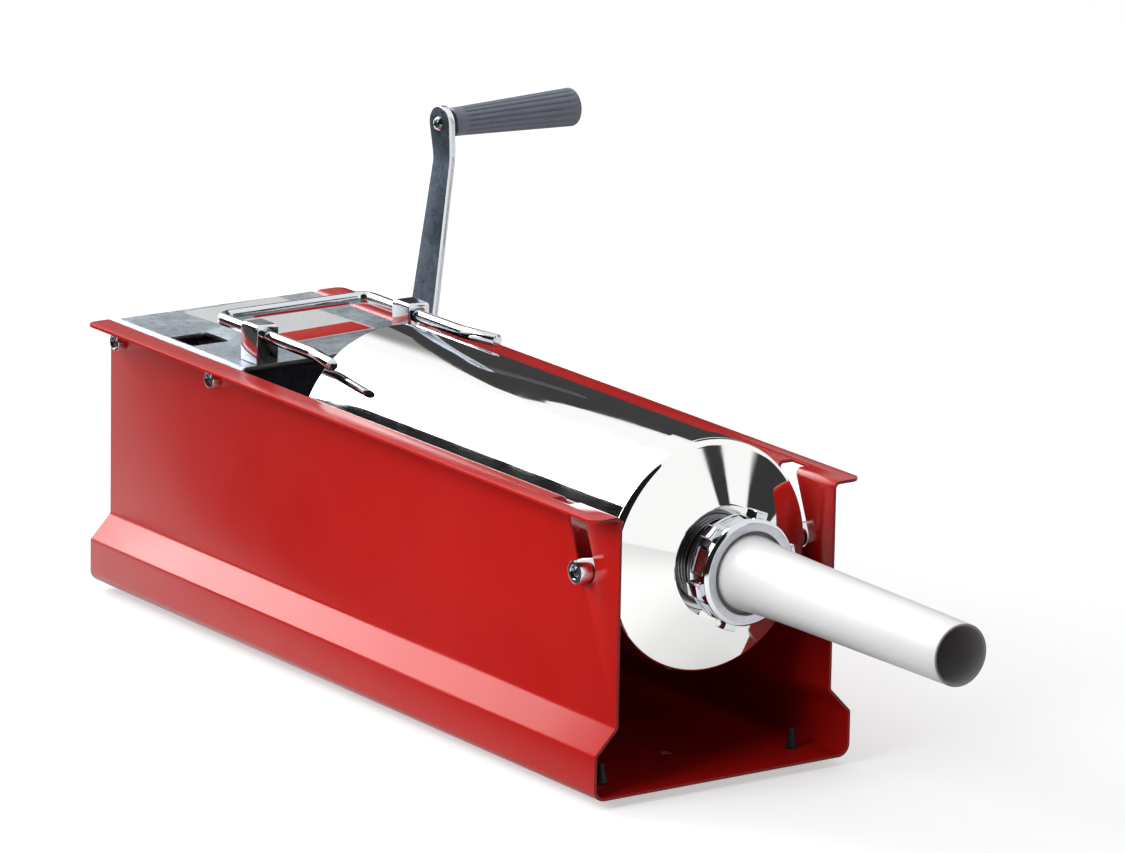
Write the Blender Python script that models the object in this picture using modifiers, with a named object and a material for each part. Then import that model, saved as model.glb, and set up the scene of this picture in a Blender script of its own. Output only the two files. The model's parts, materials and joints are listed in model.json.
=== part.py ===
"""Horizontal hand-cranked sausage stuffer, modelled as separate pieces in metres.

+Z is up, the nozzle points to -Y and the crank stands on the +X side. "Depth" means
the distance back from the front edge of the base, so depth 0 is the front edge and
depth LENGTH is the rear edge. The pieces are built about the middle of the base's
underside, and the finished machine is then moved so that its origin is the sole of the
front left foot.
"""

import math

import bmesh
import bpy
from mathutils import Matrix, Vector

MM = 0.001

# Facets round a turned piece: large shells, middling pieces and small fasteners
FINE = 40
MEDIUM = 32
COARSE = 16
SMALL = 12

# Clearances
GAP = 0.3 * MM
RUN = 0.3 * MM

# Stuffing cylinder and piston
TUBE_R = 70 * MM
TUBE_WALL = 1.5 * MM
PARK_GAP = 56 * MM
CAP_SHEET = 1 * MM
CAP_LAP = 10 * MM
CAP_REAR = 46 * MM
CAP_FLAT_R = 35 * MM
CAP_SLOPE = math.radians(22.4)
CAP_SHOULDER_R = 5 * MM
CAP_NOSE = 5 * MM
PISTON_FRONT = 50 * MM
PISTON_THICK = 18 * MM
PISTON_PLAY = 1.2 * MM
SEAL_WIDTH = 6 * MM
SEAL_DEPTH = 4 * MM
PARK_CLEAR = 12 * MM

# Base, folded from one sheet
LENGTH = 570 * MM
SHEET = 2 * MM
SIDE_ROOM = 7 * MM
STEP_OUT = 15 * MM
LOW_WALL = 28.5 * MM
STEP_RISE = 15.5 * MM
HEIGHT = 173 * MM
FLANGE = 19 * MM
FLOOR_BEND_R = 8 * MM
STEP_BEND_R = 3 * MM
FLANGE_BEND_R = 2.5 * MM
FLANGE_CORNER_R = 7 * MM
DRAIN_HOLE_R = 4 * MM
DRAIN_HOLE_DEPTH = 57 * MM

# Rubber feet
FOOT_R = 9 * MM
FOOT_TALL = 5 * MM
FOOT_NECK_R = 3.5 * MM
FOOT_BARB_R = 5.5 * MM
FOOT_BARB_TALL = 12 * MM
FOOT_SIDE_INSET = 24 * MM
FOOT_END_INSET = 27 * MM

# Trunnions and their slots
SLOT_FALL = 40 * MM
SLOT_WIDTH = 17 * MM
SLOT_LEAN = math.radians(22)
SLOT_NOTCH = 9 * MM
TRUNNION_R = 7.3 * MM
TRUNNION_DEPTH = 33 * MM
TRUNNION_REACH = 9 * MM

# Spout: neck, ring nut and funnel
NECK_R = 27.5 * MM
NECK_BORE_R = 21 * MM
NECK_REACH = 17 * MM
NECK_ROOT = 3 * MM
NUT_R = 32.6 * MM
NUT_HOLE_R = 25 * MM
NUT_REACH = 23.3 * MM
NUT_LENGTH = 17.5 * MM
NUT_LIP = 3 * MM
NUT_CHAMFER = 2 * MM
NUT_LUGS = 6
NUT_LUG_R = 36.6 * MM
NUT_LUG_WIDTH = 9 * MM
NUT_LUG_LENGTH = 10 * MM
NUT_LUG_TURN = math.radians(12)
NUT_PANEL_DEEP = 0.9 * MM
NUT_PANEL_WIDTH = 16 * MM
FUNNEL_LENGTH = 207 * MM
FUNNEL_WALL = 1.8 * MM
FUNNEL_TIP_R = 18.8 * MM
FUNNEL_BASE_R = 20.9 * MM
FUNNEL_FLARE = 2.6 * MM
FUNNEL_FLARE_LENGTH = 18 * MM

# Cylinder saddle on the floor
SADDLE_INSET = 21.5 * MM
SADDLE_SHEET = 2.5 * MM
SADDLE_HALF = 42 * MM
SADDLE_FOOT = 22 * MM
RIVET_R = 2.5 * MM
RIVET_HEAD_R = 5 * MM
RIVET_HEAD_TALL = 2.2 * MM
RIVET_SPREAD = 28 * MM

# Gearbox
BOX_LENGTH = 150 * MM
BOX_REAR_INSET = 2.5 * MM
BOX_SHEET = 2.5 * MM
BOX_DROP = 115 * MM
BOX_BEND_R = 4 * MM
END_PLATE_INSET = 3 * MM
END_PLATE_TAB = 24 * MM
END_PLATE_BEND = 1 * MM
WINDOW = 28 * MM
WINDOW_EDGE = 1.5 * MM
WINDOW_BACK = 63.5 * MM
WINDOW_CORNER_R = 3 * MM
STUD_R = 5.5 * MM
STUD_REACH = 6.5 * MM
STUD_DROP = 12 * MM
STUD_FRONT = 25 * MM
STUD_REAR_INSET = 11.5 * MM

# Rack and gears; teeth are short ones with a 25 degree pressure angle
PRESSURE = math.radians(25)
TOOTH_TOP = 0.8
TOOTH_ROOT = 1.05
BACKLASH = 0.35 * MM
RACK_WIDTH = 18 * MM
RACK_TALL = 20 * MM
RACK_MODULE = 2.5 * MM
RACK_PINION_TEETH = 12
RACK_PINION_WIDE = 20 * MM
GEAR_MODULE = 2 * MM
GEAR_TEETH = 36
GEAR_WIDE = 12 * MM
GEAR_OFFSET = 16 * MM
GEAR_RIM = 6 * MM
GEAR_WEB = 5 * MM
GEAR_HUB_R = 13 * MM
CRANK_PINION_TEETH = 12
CRANK_PINION_WIDE = 14 * MM
DRIVE_INSET = 47.4 * MM
CRANK_SHAFT_DROP = 11.5 * MM
SHAFT_R = 7 * MM
SQUARE = 10 * MM
FAST_END = 14 * MM
BUSH_R = 10 * MM
BUSH_FLANGE_R = 13 * MM
BUSH_FLANGE = 2 * MM
BUSH_PROUD = 1.5 * MM
COLLAR_R = 11 * MM
COLLAR_WIDE = 8 * MM
GUIDE_WALL = 4 * MM
GUIDE_FLANGE = 4 * MM
GUIDE_FLANGE_WIDE = 5 * MM

# Locking bail and its blocks
BAIL_R = 4 * MM
BAIL_PLAY = 6.3 * MM
BAIL_RISE = 17.5 * MM
BAIL_BACK = 60 * MM
BAIL_BEND_R = 9 * MM
BAIL_LEG_PAST_TUBE = 20 * MM
BAIL_TAIL = 31 * MM
BAIL_SPLAY = math.radians(11)
BLOCK_WIDE = 16 * MM
BLOCK_LONG = 19 * MM
BLOCK_TALL = 25 * MM
BLOCK_SHIFT = 1 * MM
BLOCK_BEVEL = 2.5 * MM

# Crank
CRANK_R = 195 * MM
CRANK_TILT = math.radians(8.5)
HUB_STAND_OFF = 10 * MM
ARM_THICK = 5 * MM
ARM_HUB_R = 16 * MM
ARM_HEAD_R = 11.5 * MM
ARM_NECK_HALF = 9.5 * MM
ARM_FLAT = 16 * MM
ARM_NECK_BELOW = 22 * MM
ARM_LEAN = math.radians(13.8)
GRIP_LENGTH = 96 * MM
GRIP_NEAR_R = 9.5 * MM
GRIP_FAR_R = 12.7 * MM
GRIP_FLUTES = 18
GRIP_FLUTE_DEEP = 0.9 * MM
GRIP_SMOOTH = 8 * MM
GRIP_EDGE_R = 2.4 * MM
GRIP_WASHER = 3 * MM
SPINDLE_R = 3 * MM
BOLT_R = 4 * MM

# Small screws
SCREW_R = 2.3 * MM
SCREW_HEAD_R = 3.7 * MM
SCREW_HEAD = 2.2 * MM

# Heights, depths and half-widths that follow from the sizes above
AXIS_Z = HEIGHT - SLOT_FALL
INNER_HALF = TUBE_R + SIDE_ROOM
OUTER_HALF = INNER_HALF + SHEET
LOW_HALF = OUTER_HALF + STEP_OUT
FRONT_Y = -LENGTH / 2
BORE_R = TUBE_R - TUBE_WALL
CAP_R = TUBE_R + GAP + CAP_SHEET
TUBE_FRONT = CAP_REAR - CAP_LAP + GAP
BOX_BACK = LENGTH - BOX_REAR_INSET
BOX_FRONT = BOX_BACK - BOX_LENGTH
TUBE_REAR = BOX_FRONT - PARK_GAP
SADDLE_DEPTH = TUBE_REAR - SADDLE_INSET
STROKE = TUBE_REAR - PISTON_FRONT + PARK_CLEAR
BOX_HALF = INNER_HALF - GAP
BOX_INSIDE = BOX_HALF - BOX_SHEET
BOX_FLOOR_Z = HEIGHT - BOX_DROP
RACK_LOW_Z = AXIS_Z - RACK_TALL / 2
RACK_PITCH_Z = RACK_LOW_Z + TOOTH_TOP * RACK_MODULE
RACK_PINION_R = RACK_MODULE * RACK_PINION_TEETH / 2
DRIVE_Z = RACK_PITCH_Z - RACK_PINION_R
DRIVE_DEPTH = BOX_BACK - DRIVE_INSET
GEAR_CENTRES = GEAR_MODULE * (GEAR_TEETH + CRANK_PINION_TEETH) / 2
CRANK_Z = DRIVE_Z - CRANK_SHAFT_DROP
CRANK_DEPTH = DRIVE_DEPTH - math.sqrt(GEAR_CENTRES ** 2 - CRANK_SHAFT_DROP ** 2)
BAIL_Z = HEIGHT + BAIL_RISE
BAIL_X = math.sqrt((TUBE_R + BAIL_PLAY + BAIL_R) ** 2 - (BAIL_Z - AXIS_Z) ** 2)
HUB_X = OUTER_HALF + HUB_STAND_OFF
STUD_DEPTHS = (BOX_FRONT + STUD_FRONT, BOX_BACK - STUD_REAR_INSET)

# Orientations: local X and Y are where an outline is drawn, local Z is its thickness
FACING_FRONT = (math.pi / 2, 0, 0)
FACING_RIGHT = (math.pi / 2, 0, math.pi / 2)
FACING_LEFT = (math.pi / 2, 0, -math.pi / 2)
FACING_UP = (0, 0, 0)
FACING_DOWN = (math.pi, 0, 0)


def clear_scene():
    for obj in list(bpy.data.objects):
        bpy.data.objects.remove(obj, do_unlink=True)


def new_collection(name):
    collection = bpy.data.collections.new(name)
    bpy.context.scene.collection.children.link(collection)
    return collection


clear_scene()
PARTS = new_collection("sausage_stuffer")
CUTTERS = new_collection("cutters")


def new_material(name, colour, roughness, metallic):
    material = bpy.data.materials.new(name)
    material.use_nodes = True
    shader = material.node_tree.nodes["Principled BSDF"]
    shader.inputs["Base Color"].default_value = (*colour, 1)
    shader.inputs["Roughness"].default_value = roughness
    shader.inputs["Metallic"].default_value = metallic
    return material


RED_PAINT = new_material("red_paint", (0.52, 0.022, 0.018), 0.38, 0.0)
STAINLESS = new_material("stainless", (0.78, 0.78, 0.77), 0.12, 1.0)
CHROME = new_material("chrome", (0.86, 0.87, 0.88), 0.08, 1.0)
ZINC = new_material("zinc_plate", (0.52, 0.56, 0.60), 0.45, 1.0)
DARK_STEEL = new_material("dark_steel", (0.06, 0.065, 0.075), 0.5, 0.8)
GEAR_STEEL = new_material("gear_steel", (0.42, 0.42, 0.43), 0.35, 1.0)
BRONZE = new_material("bronze", (0.55, 0.36, 0.18), 0.4, 1.0)
RUBBER = new_material("rubber", (0.015, 0.015, 0.016), 0.75, 0.0)
WHITE_PLASTIC = new_material("white_plastic", (0.86, 0.87, 0.9), 0.35, 0.0)
GRIP_PLASTIC = new_material("grip_plastic", (0.17, 0.17, 0.21), 0.5, 0.0)


def arc(centre, radius, start, end, count):
    """Points on a circle from one angle to another, both ends included."""
    points = []
    for i in range(count + 1):
        angle = start + (end - start) * i / count
        points.append(Vector((centre[0] + radius * math.cos(angle),
                              centre[1] + radius * math.sin(angle))))
    return points


def fillet(before, corner, after, radius, count):
    """The arc that rounds one corner of an outline."""
    to_before = (before - corner).normalized()
    to_after = (after - corner).normalized()
    half = to_before.angle(to_after) / 2
    start = corner + to_before * radius / math.tan(half)
    centre = corner + (to_before + to_after).normalized() * radius / math.sin(half)
    first = start - centre
    turn = math.pi - 2 * half
    if to_before.cross(to_after) > 0:
        turn = -turn
    points = []
    for i in range(count + 1):
        points.append(centre + Matrix.Rotation(turn * i / count, 2) @ first)
    return points


def rounded_path(points, radii, count=3):
    """An open path with a radius at each inner corner."""
    points = [Vector(p) for p in points]
    path = [points[0]]
    for before, corner, after, radius in zip(points, points[1:], points[2:], radii):
        path += fillet(before, corner, after, radius, count)
    path.append(points[-1])
    return path


def rounded_outline(points, radius, count=3):
    """A closed outline with the same radius at each corner."""
    points = [Vector(p) for p in points]
    outline = []
    for i, corner in enumerate(points):
        after = points[(i + 1) % len(points)]
        outline += fillet(points[i - 1], corner, after, radius, count)
    return outline


def rectangle(half_x, low_y, high_y):
    return [(-half_x, low_y), (half_x, low_y), (half_x, high_y), (-half_x, high_y)]


def square_outline(side):
    return rectangle(side / 2, -side / 2, side / 2)


def finish(obj, material, smooth=True):
    """Gives a piece its material and moves it to the parts collection."""
    for collection in obj.users_collection:
        collection.objects.unlink(obj)
    PARTS.objects.link(obj)
    obj.data.materials.clear()
    obj.data.materials.append(material)
    if smooth:
        obj.data.shade_smooth()
        obj.data.set_sharp_from_angle(angle=math.radians(30))
    return obj


def place(obj, location, rotation, parent=None):
    obj.parent = parent
    obj.location = location
    obj.rotation_euler = rotation
    return obj


def as_mesh(obj):
    """Replaces a curve, or a piece with modifiers, by its evaluated mesh."""
    bpy.context.view_layer.update()
    evaluated = obj.evaluated_get(bpy.context.evaluated_depsgraph_get())
    mesh = bpy.data.meshes.new_from_object(evaluated)
    bm = bmesh.new()
    bm.from_mesh(mesh)
    bmesh.ops.remove_doubles(bm, verts=bm.verts, dist=0.001 * MM)
    bmesh.ops.recalc_face_normals(bm, faces=bm.faces)
    bm.to_mesh(mesh)
    bm.free()
    solid = bpy.data.objects.new(obj.name, mesh)
    CUTTERS.objects.link(solid)
    solid.parent = obj.parent
    solid.location = obj.location
    solid.rotation_euler = obj.rotation_euler
    name = obj.name
    bpy.data.objects.remove(obj, do_unlink=True)
    solid.name = name
    return solid


def flat(name, outlines, thickness, location, rotation, parent=None):
    """A flat outline with holes, centred on its thickness, as a closed mesh."""
    curve = bpy.data.curves.new(name, "CURVE")
    curve.dimensions = "2D"
    curve.fill_mode = "BOTH"
    curve.extrude = thickness / 2
    for outline in outlines:
        spline = curve.splines.new("POLY")
        spline.points.add(len(outline) - 1)
        for point, corner in zip(spline.points, outline):
            point.co = (corner[0], corner[1], 0, 1)
        spline.use_cyclic_u = True
    obj = bpy.data.objects.new(name, curve)
    CUTTERS.objects.link(obj)
    place(obj, location, rotation, parent)
    return as_mesh(obj)


def turned(name, profile, location, rotation, steps=MEDIUM, ring=True, parent=None):
    """A turned piece. The profile of radius and height runs down its outer side."""
    bm = bmesh.new()
    points = [bm.verts.new((radius, 0, height)) for radius, height in profile]
    pairs = list(zip(points, points[1:]))
    if ring:
        pairs.append((points[-1], points[0]))
    for first, second in pairs:
        bm.edges.new((first, second))
    mesh = bpy.data.meshes.new(name)
    bm.to_mesh(mesh)
    bm.free()
    obj = bpy.data.objects.new(name, mesh)
    CUTTERS.objects.link(obj)
    place(obj, location, rotation, parent)
    screw = obj.modifiers.new("turn", "SCREW")
    screw.steps = steps
    screw.render_steps = steps
    screw.use_merge_vertices = True
    screw.merge_threshold = 0.01 * MM
    return as_mesh(obj)


def rod(name, radius, low, high, location, rotation, steps=SMALL, parent=None):
    profile = [(0, high), (radius, high), (radius, low), (0, low)]
    return turned(name, profile, location, rotation, steps, ring=False, parent=parent)


def tube(name, radius, bore, low, high, location, rotation, steps=COARSE, parent=None):
    profile = [(bore, high), (radius, high), (radius, low), (bore, low)]
    return turned(name, profile, location, rotation, steps, parent=parent)


def box(name, low, high, parent=None):
    """A box between two corners."""
    bpy.ops.mesh.primitive_cube_add(size=1)
    obj = bpy.context.object
    obj.name = name
    for collection in obj.users_collection:
        collection.objects.unlink(obj)
    CUTTERS.objects.link(obj)
    low = Vector(low)
    high = Vector(high)
    obj.data.transform(Matrix.Diagonal((*(high - low), 1)))
    return place(obj, (low + high) / 2, FACING_UP, parent)


def joined(name, pieces):
    """Several bodies in one mesh, in world space, to serve as one tool."""
    bpy.context.view_layer.update()
    bm = bmesh.new()
    for piece in pieces:
        mesh = piece.data.copy()
        mesh.transform(piece.matrix_world)
        bm.from_mesh(mesh)
    mesh = bpy.data.meshes.new(name)
    bm.to_mesh(mesh)
    bm.free()
    for piece in pieces:
        bpy.data.objects.remove(piece, do_unlink=True)
    obj = bpy.data.objects.new(name, mesh)
    CUTTERS.objects.link(obj)
    return obj


def combine(obj, tools, operation, solver="EXACT"):
    """Cuts a piece with a group of tools, or joins the group to it."""
    tool = joined(obj.name + "_" + operation.lower(), tools)
    tool.hide_render = True
    tool.display_type = "WIRE"
    modifier = obj.modifiers.new(operation.lower(), "BOOLEAN")
    modifier.operation = operation
    modifier.solver = solver
    modifier.object = tool
    return obj


def cut(obj, tools, solver="EXACT"):
    return combine(obj, tools, "DIFFERENCE", solver)


def add(obj, tools):
    return combine(obj, tools, "UNION")


def at_depth(depth):
    return FRONT_Y + depth


def outward(side):
    return FACING_RIGHT if side > 0 else FACING_LEFT


def side_name(side):
    return "right" if side > 0 else "left"


def wall_hole(radius, depth, height, sides=(-1, 1)):
    """Rods along X that cut one or both side walls, from inside the gearbox out."""
    tools = []
    for side in sides:
        start = BOX_INSIDE - END_PLATE_INSET - 2 * BOX_SHEET
        tools.append(rod("hole", radius, start, LOW_HALF,
                         (0, at_depth(depth), height), outward(side), COARSE))
    return tools


def floor_hole(radius, x, depth):
    return rod("hole", radius, -SHEET, 2 * SHEET, (x, at_depth(depth), 0), FACING_UP, COARSE)


FOOT_PLACES = []
for end_name, foot_depth in (("front", FOOT_END_INSET), ("rear", LENGTH - FOOT_END_INSET)):
    for foot_side in (-1, 1):
        FOOT_PLACES.append(("foot_" + end_name + "_" + side_name(foot_side),
                            foot_side * (LOW_HALF - FOOT_SIDE_INSET), foot_depth))


def frame_path():
    """The outside of the folded sheet, from the left flange's tip to the right's."""
    flange_tip = OUTER_HALF + FLANGE
    right = [(LOW_HALF, 0), (LOW_HALF, LOW_WALL), (OUTER_HALF, LOW_WALL + STEP_RISE),
             (OUTER_HALF, HEIGHT - SHEET), (flange_tip, HEIGHT - SHEET)]
    left = [(-x, z) for x, z in reversed(right)]
    bends = [FLOOR_BEND_R, STEP_BEND_R, STEP_BEND_R, FLANGE_BEND_R]
    return rounded_path(left + right, bends[::-1] + bends)


def flange_corner(side, depth, inward):
    """What is cut away to round one end corner of a flange; inward is +1 at the front."""
    r = FLANGE_CORNER_R
    over = SHEET
    tip = OUTER_HALF + FLANGE
    outline = [Vector((tip + over, -over)), Vector((tip + over, r)), Vector((tip, r))]
    outline += arc((tip - r, r), r, 0, -math.pi / 2, 6)[1:]
    outline.append(Vector((tip - r, -over)))
    outline = [(side * x, inward * y) for x, y in outline]
    return flat("corner", [outline], 4 * SHEET, (0, at_depth(depth), HEIGHT - SHEET), FACING_UP)


def trunnion_slot(side):
    """The leaning slot that lets a trunnion down from a notch in the flange."""
    half = SLOT_WIDTH / 2
    seat = AXIS_Z - TRUNNION_R - GAP + half
    along = Vector((math.sin(SLOT_LEAN), math.cos(SLOT_LEAN)))
    across = Vector((along.y, -along.x))
    low = Vector((at_depth(TRUNNION_DEPTH), seat))
    top = low + along * (2 * SLOT_FALL)
    outline = arc(low, half, math.pi - SLOT_LEAN, 2 * math.pi - SLOT_LEAN, 10)
    outline += [top + across * half, top - across * half]
    inside = TUBE_R
    outside = OUTER_HALF + SLOT_NOTCH
    centre = side * (inside + outside) / 2
    if side < 0:
        outline = [(-y, z) for y, z in outline]
    return flat("slot", [outline], outside - inside, (centre, 0, 0), outward(side))


def base_frame():
    bm = bmesh.new()
    path = [bm.verts.new((x, FRONT_Y, z)) for x, z in frame_path()]
    edges = [bm.edges.new(pair) for pair in zip(path, path[1:])]
    swept = bmesh.ops.extrude_edge_only(bm, edges=edges)["geom"]
    moved = [item for item in swept if isinstance(item, bmesh.types.BMVert)]
    bmesh.ops.translate(bm, verts=moved, vec=(0, LENGTH, 0))
    mesh = bpy.data.meshes.new("base_frame")
    bm.to_mesh(mesh)
    bm.free()
    frame = bpy.data.objects.new("base_frame", mesh)
    CUTTERS.objects.link(frame)
    sheet = frame.modifiers.new("sheet", "SOLIDIFY")
    sheet.thickness = SHEET
    sheet.offset = -1
    sheet.use_even_offset = True
    tools = [floor_hole(DRAIN_HOLE_R, 0, DRAIN_HOLE_DEPTH)]
    for _, x, depth in FOOT_PLACES:
        tools.append(floor_hole(FOOT_NECK_R + GAP, x, depth))
    for x in (-RIVET_SPREAD, RIVET_SPREAD):
        tools.append(floor_hole(RIVET_R + GAP, x, SADDLE_DEPTH + SADDLE_FOOT / 2))
    for depth in STUD_DEPTHS:
        tools += wall_hole(SCREW_R + GAP, depth, HEIGHT - STUD_DROP)
    tools += wall_hole(BUSH_R + GAP, CRANK_DEPTH, CRANK_Z, [1])
    tools += wall_hole(BUSH_R + GAP, DRIVE_DEPTH, DRIVE_Z, [1])
    for side in (-1, 1):
        tools.append(trunnion_slot(side))
        tools.append(flange_corner(side, 0, 1))
        tools.append(flange_corner(side, LENGTH, -1))
    cut(frame, tools)
    return finish(frame, RED_PAINT)


def rubber_foot(name, x, depth):
    seat = -GAP
    barb = SHEET + GAP
    tip = FOOT_BARB_R / 3
    profile = [(0, barb + FOOT_BARB_TALL), (tip, barb + FOOT_BARB_TALL), (FOOT_BARB_R, barb),
               (FOOT_NECK_R, barb), (FOOT_NECK_R, seat), (FOOT_R, seat),
               (FOOT_R, -FOOT_TALL + MM), (FOOT_R - MM, -FOOT_TALL), (0, -FOOT_TALL)]
    foot = turned(name, profile, (x, at_depth(depth), 0), FACING_UP, SMALL, ring=False)
    return finish(foot, RUBBER)


def cylinder_saddle():
    """A folded bracket on the floor whose hollow edge carries the rear of the tube."""
    floor = SHEET + GAP
    hollow_r = TUBE_R + GAP
    half_angle = math.asin(SADDLE_HALF / hollow_r)
    outline = [Vector((-SADDLE_HALF, floor)), Vector((SADDLE_HALF, floor))]
    outline += arc((0, AXIS_Z), hollow_r, -math.pi / 2 + half_angle,
                   -math.pi / 2 - half_angle, 12)
    saddle = flat("cylinder_saddle", [outline], SADDLE_SHEET,
                  (0, at_depth(SADDLE_DEPTH), 0), FACING_FRONT)
    front = at_depth(SADDLE_DEPTH) - SADDLE_SHEET / 2
    foot = box("foot", (-SADDLE_HALF, front, floor),
               (SADDLE_HALF, front + SADDLE_FOOT + SADDLE_SHEET, floor + SADDLE_SHEET))
    add(saddle, [foot])
    holes = []
    for x in (-RIVET_SPREAD, RIVET_SPREAD):
        holes.append(rod("hole", RIVET_R + GAP, 0, 3 * SADDLE_SHEET,
                         (x, at_depth(SADDLE_DEPTH + SADDLE_FOOT / 2), 0), FACING_UP))
    cut(saddle, holes)
    return finish(saddle, ZINC, smooth=False)


def saddle_rivet(side):
    top = SHEET + GAP + SADDLE_SHEET + GAP
    bottom = -GAP
    tip = 0.6 * RIVET_HEAD_R
    profile = [(0, top + RIVET_HEAD_TALL), (tip, top + RIVET_HEAD_TALL), (RIVET_HEAD_R, top),
               (RIVET_R, top), (RIVET_R, bottom), (RIVET_HEAD_R, bottom),
               (tip, bottom - RIVET_HEAD_TALL), (0, bottom - RIVET_HEAD_TALL)]
    location = (side * RIVET_SPREAD, at_depth(SADDLE_DEPTH + SADDLE_FOOT / 2), 0)
    rivet = turned("saddle_rivet_" + side_name(side), profile, location, FACING_UP, SMALL, ring=False)
    return finish(rivet, GEAR_STEEL)


def on_axis(depth=0):
    """The point of the cylinder's axis at a depth."""
    return (0, at_depth(depth), AXIS_Z)


def cylinder_tube():
    profile = [(BORE_R, -TUBE_FRONT), (TUBE_R, -TUBE_FRONT), (TUBE_R, -TUBE_REAR),
               (BORE_R, -TUBE_REAR)]
    return finish(turned("cylinder_tube", profile, on_axis(), FACING_FRONT, FINE), STAINLESS)


def cylinder_cap():
    """The front cap: a skirt lapped over the tube, a round shoulder, a cone and a flat."""
    hole = NECK_R + GAP
    thick = 2 * CAP_SHEET
    slope = math.tan(CAP_SLOPE)
    fold = (CAP_FLAT_R, -CAP_NOSE)
    outer_corner = (CAP_R, -CAP_NOSE - slope * (CAP_R - CAP_FLAT_R))
    lap = TUBE_R + GAP
    inner_r = CAP_R - thick
    back = -CAP_NOSE - thick
    inner_fold_r = CAP_FLAT_R - thick * math.tan(CAP_SLOPE / 2)
    inner_corner = (inner_r, back - slope * (inner_r - inner_fold_r))
    lap_end = -TUBE_FRONT + GAP
    outside = rounded_path([(hole, -CAP_NOSE), fold, outer_corner, (CAP_R, -CAP_REAR)],
                           [CAP_SHOULDER_R, CAP_SHOULDER_R])
    inside = [(inner_r, lap_end), inner_corner, (inner_fold_r, back), (hole, back)]
    profile = outside + [(lap, -CAP_REAR), (lap, lap_end)] + inside
    cap = turned("cylinder_cap", profile, on_axis(), FACING_FRONT, FINE)
    holes = []
    for side in (-1, 1):
        holes.append(rod("hole", SCREW_R + GAP, inner_r / 2, 2 * inner_r,
                         on_axis(TRUNNION_DEPTH), outward(side)))
    cut(cap, holes)
    return finish(cap, STAINLESS)


def trunnion(side):
    """A chromed sleeve on the cap's skirt that turns in the base's slot."""
    inner = CAP_R + GAP
    outer = OUTER_HALF + TRUNNION_REACH
    recess = outer - SCREW_HEAD - MM
    profile = [(SCREW_HEAD_R + GAP, outer), (TRUNNION_R - MM, outer), (TRUNNION_R, outer - MM),
               (TRUNNION_R, inner), (SCREW_R + GAP, inner), (SCREW_R + GAP, recess),
               (SCREW_HEAD_R + GAP, recess)]
    sleeve = turned("trunnion_" + side_name(side), profile, on_axis(TRUNNION_DEPTH),
                    outward(side), COARSE)
    return finish(sleeve, CHROME)


def headed_screw(name, location, rotation, tip, seat, parent=None):
    """A screw with a pan head that stands on its seat."""
    top = seat + SCREW_HEAD
    profile = [(0, top), (SCREW_HEAD_R, top), (SCREW_HEAD_R, seat), (SCREW_R, seat),
               (SCREW_R, tip), (0, tip)]
    screw = turned(name, profile, location, rotation, SMALL, ring=False, parent=parent)
    return finish(screw, CHROME)


def trunnion_screw(side):
    seat = OUTER_HALF + TRUNNION_REACH - SCREW_HEAD - MM + GAP
    return headed_screw("trunnion_screw_" + side_name(side), on_axis(TRUNNION_DEPTH),
                        outward(side), CAP_R - 2 * CAP_SHEET, seat)


def spout_neck():
    profile = [(NECK_BORE_R, NECK_REACH), (NECK_R - MM, NECK_REACH), (NECK_R, NECK_REACH - MM),
               (NECK_R, -CAP_NOSE - NECK_ROOT), (NECK_BORE_R, -CAP_NOSE - NECK_ROOT)]
    return finish(turned("spout_neck", profile, on_axis(), FACING_FRONT), STAINLESS)


def ring_nut():
    """The lugged ring nut, with a shallow panel between each pair of lugs."""
    rear = NUT_REACH - NUT_LENGTH
    thread_r = NECK_R + GAP
    lip = NUT_REACH - NUT_LIP
    profile = [(NUT_HOLE_R, NUT_REACH), (NUT_R - NUT_CHAMFER, NUT_REACH),
               (NUT_R, NUT_REACH - NUT_CHAMFER), (NUT_R, rear + NUT_CHAMFER / 2),
               (NUT_R - NUT_CHAMFER / 2, rear), (thread_r, rear), (thread_r, lip),
               (NUT_HOLE_R, lip)]
    nut = turned("ring_nut", profile, on_axis(), FACING_FRONT, FINE)
    middle = -at_depth(0) + (rear + NUT_REACH - NUT_CHAMFER) / 2
    lugs = []
    panels = []
    for i in range(NUT_LUGS):
        turn = NUT_LUG_TURN + 2 * math.pi * i / NUT_LUGS
        half = NUT_LUG_LENGTH / 2
        lug = box("lug", (NUT_R - 2 * NUT_PANEL_DEEP, -middle - half, -NUT_LUG_WIDTH / 2),
                  (NUT_LUG_R, -middle + half, NUT_LUG_WIDTH / 2))
        floor = math.sqrt(NUT_R ** 2 - (NUT_PANEL_WIDTH / 2) ** 2) - NUT_PANEL_DEEP
        panel = box("panel", (floor, -middle - half, -NUT_PANEL_WIDTH / 2),
                    (2 * NUT_R, -middle + half, NUT_PANEL_WIDTH / 2))
        spin = Matrix.Translation((0, 0, AXIS_Z))
        lug.matrix_world = spin @ Matrix.Rotation(-turn, 4, "Y") @ lug.matrix_world
        turn += math.pi / NUT_LUGS
        panel.matrix_world = spin @ Matrix.Rotation(-turn, 4, "Y") @ panel.matrix_world
        lugs.append(lug)
        panels.append(panel)
    cut(nut, panels)
    add(nut, lugs)
    return finish(nut, CHROME)


def funnel_radius(reach):
    """Outer radius of the funnel at a distance in front of its flange."""
    share = reach / FUNNEL_LENGTH
    straight = FUNNEL_BASE_R + (FUNNEL_TIP_R - FUNNEL_BASE_R) * share
    return straight + FUNNEL_FLARE * math.exp(-reach / FUNNEL_FLARE_LENGTH)


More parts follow.
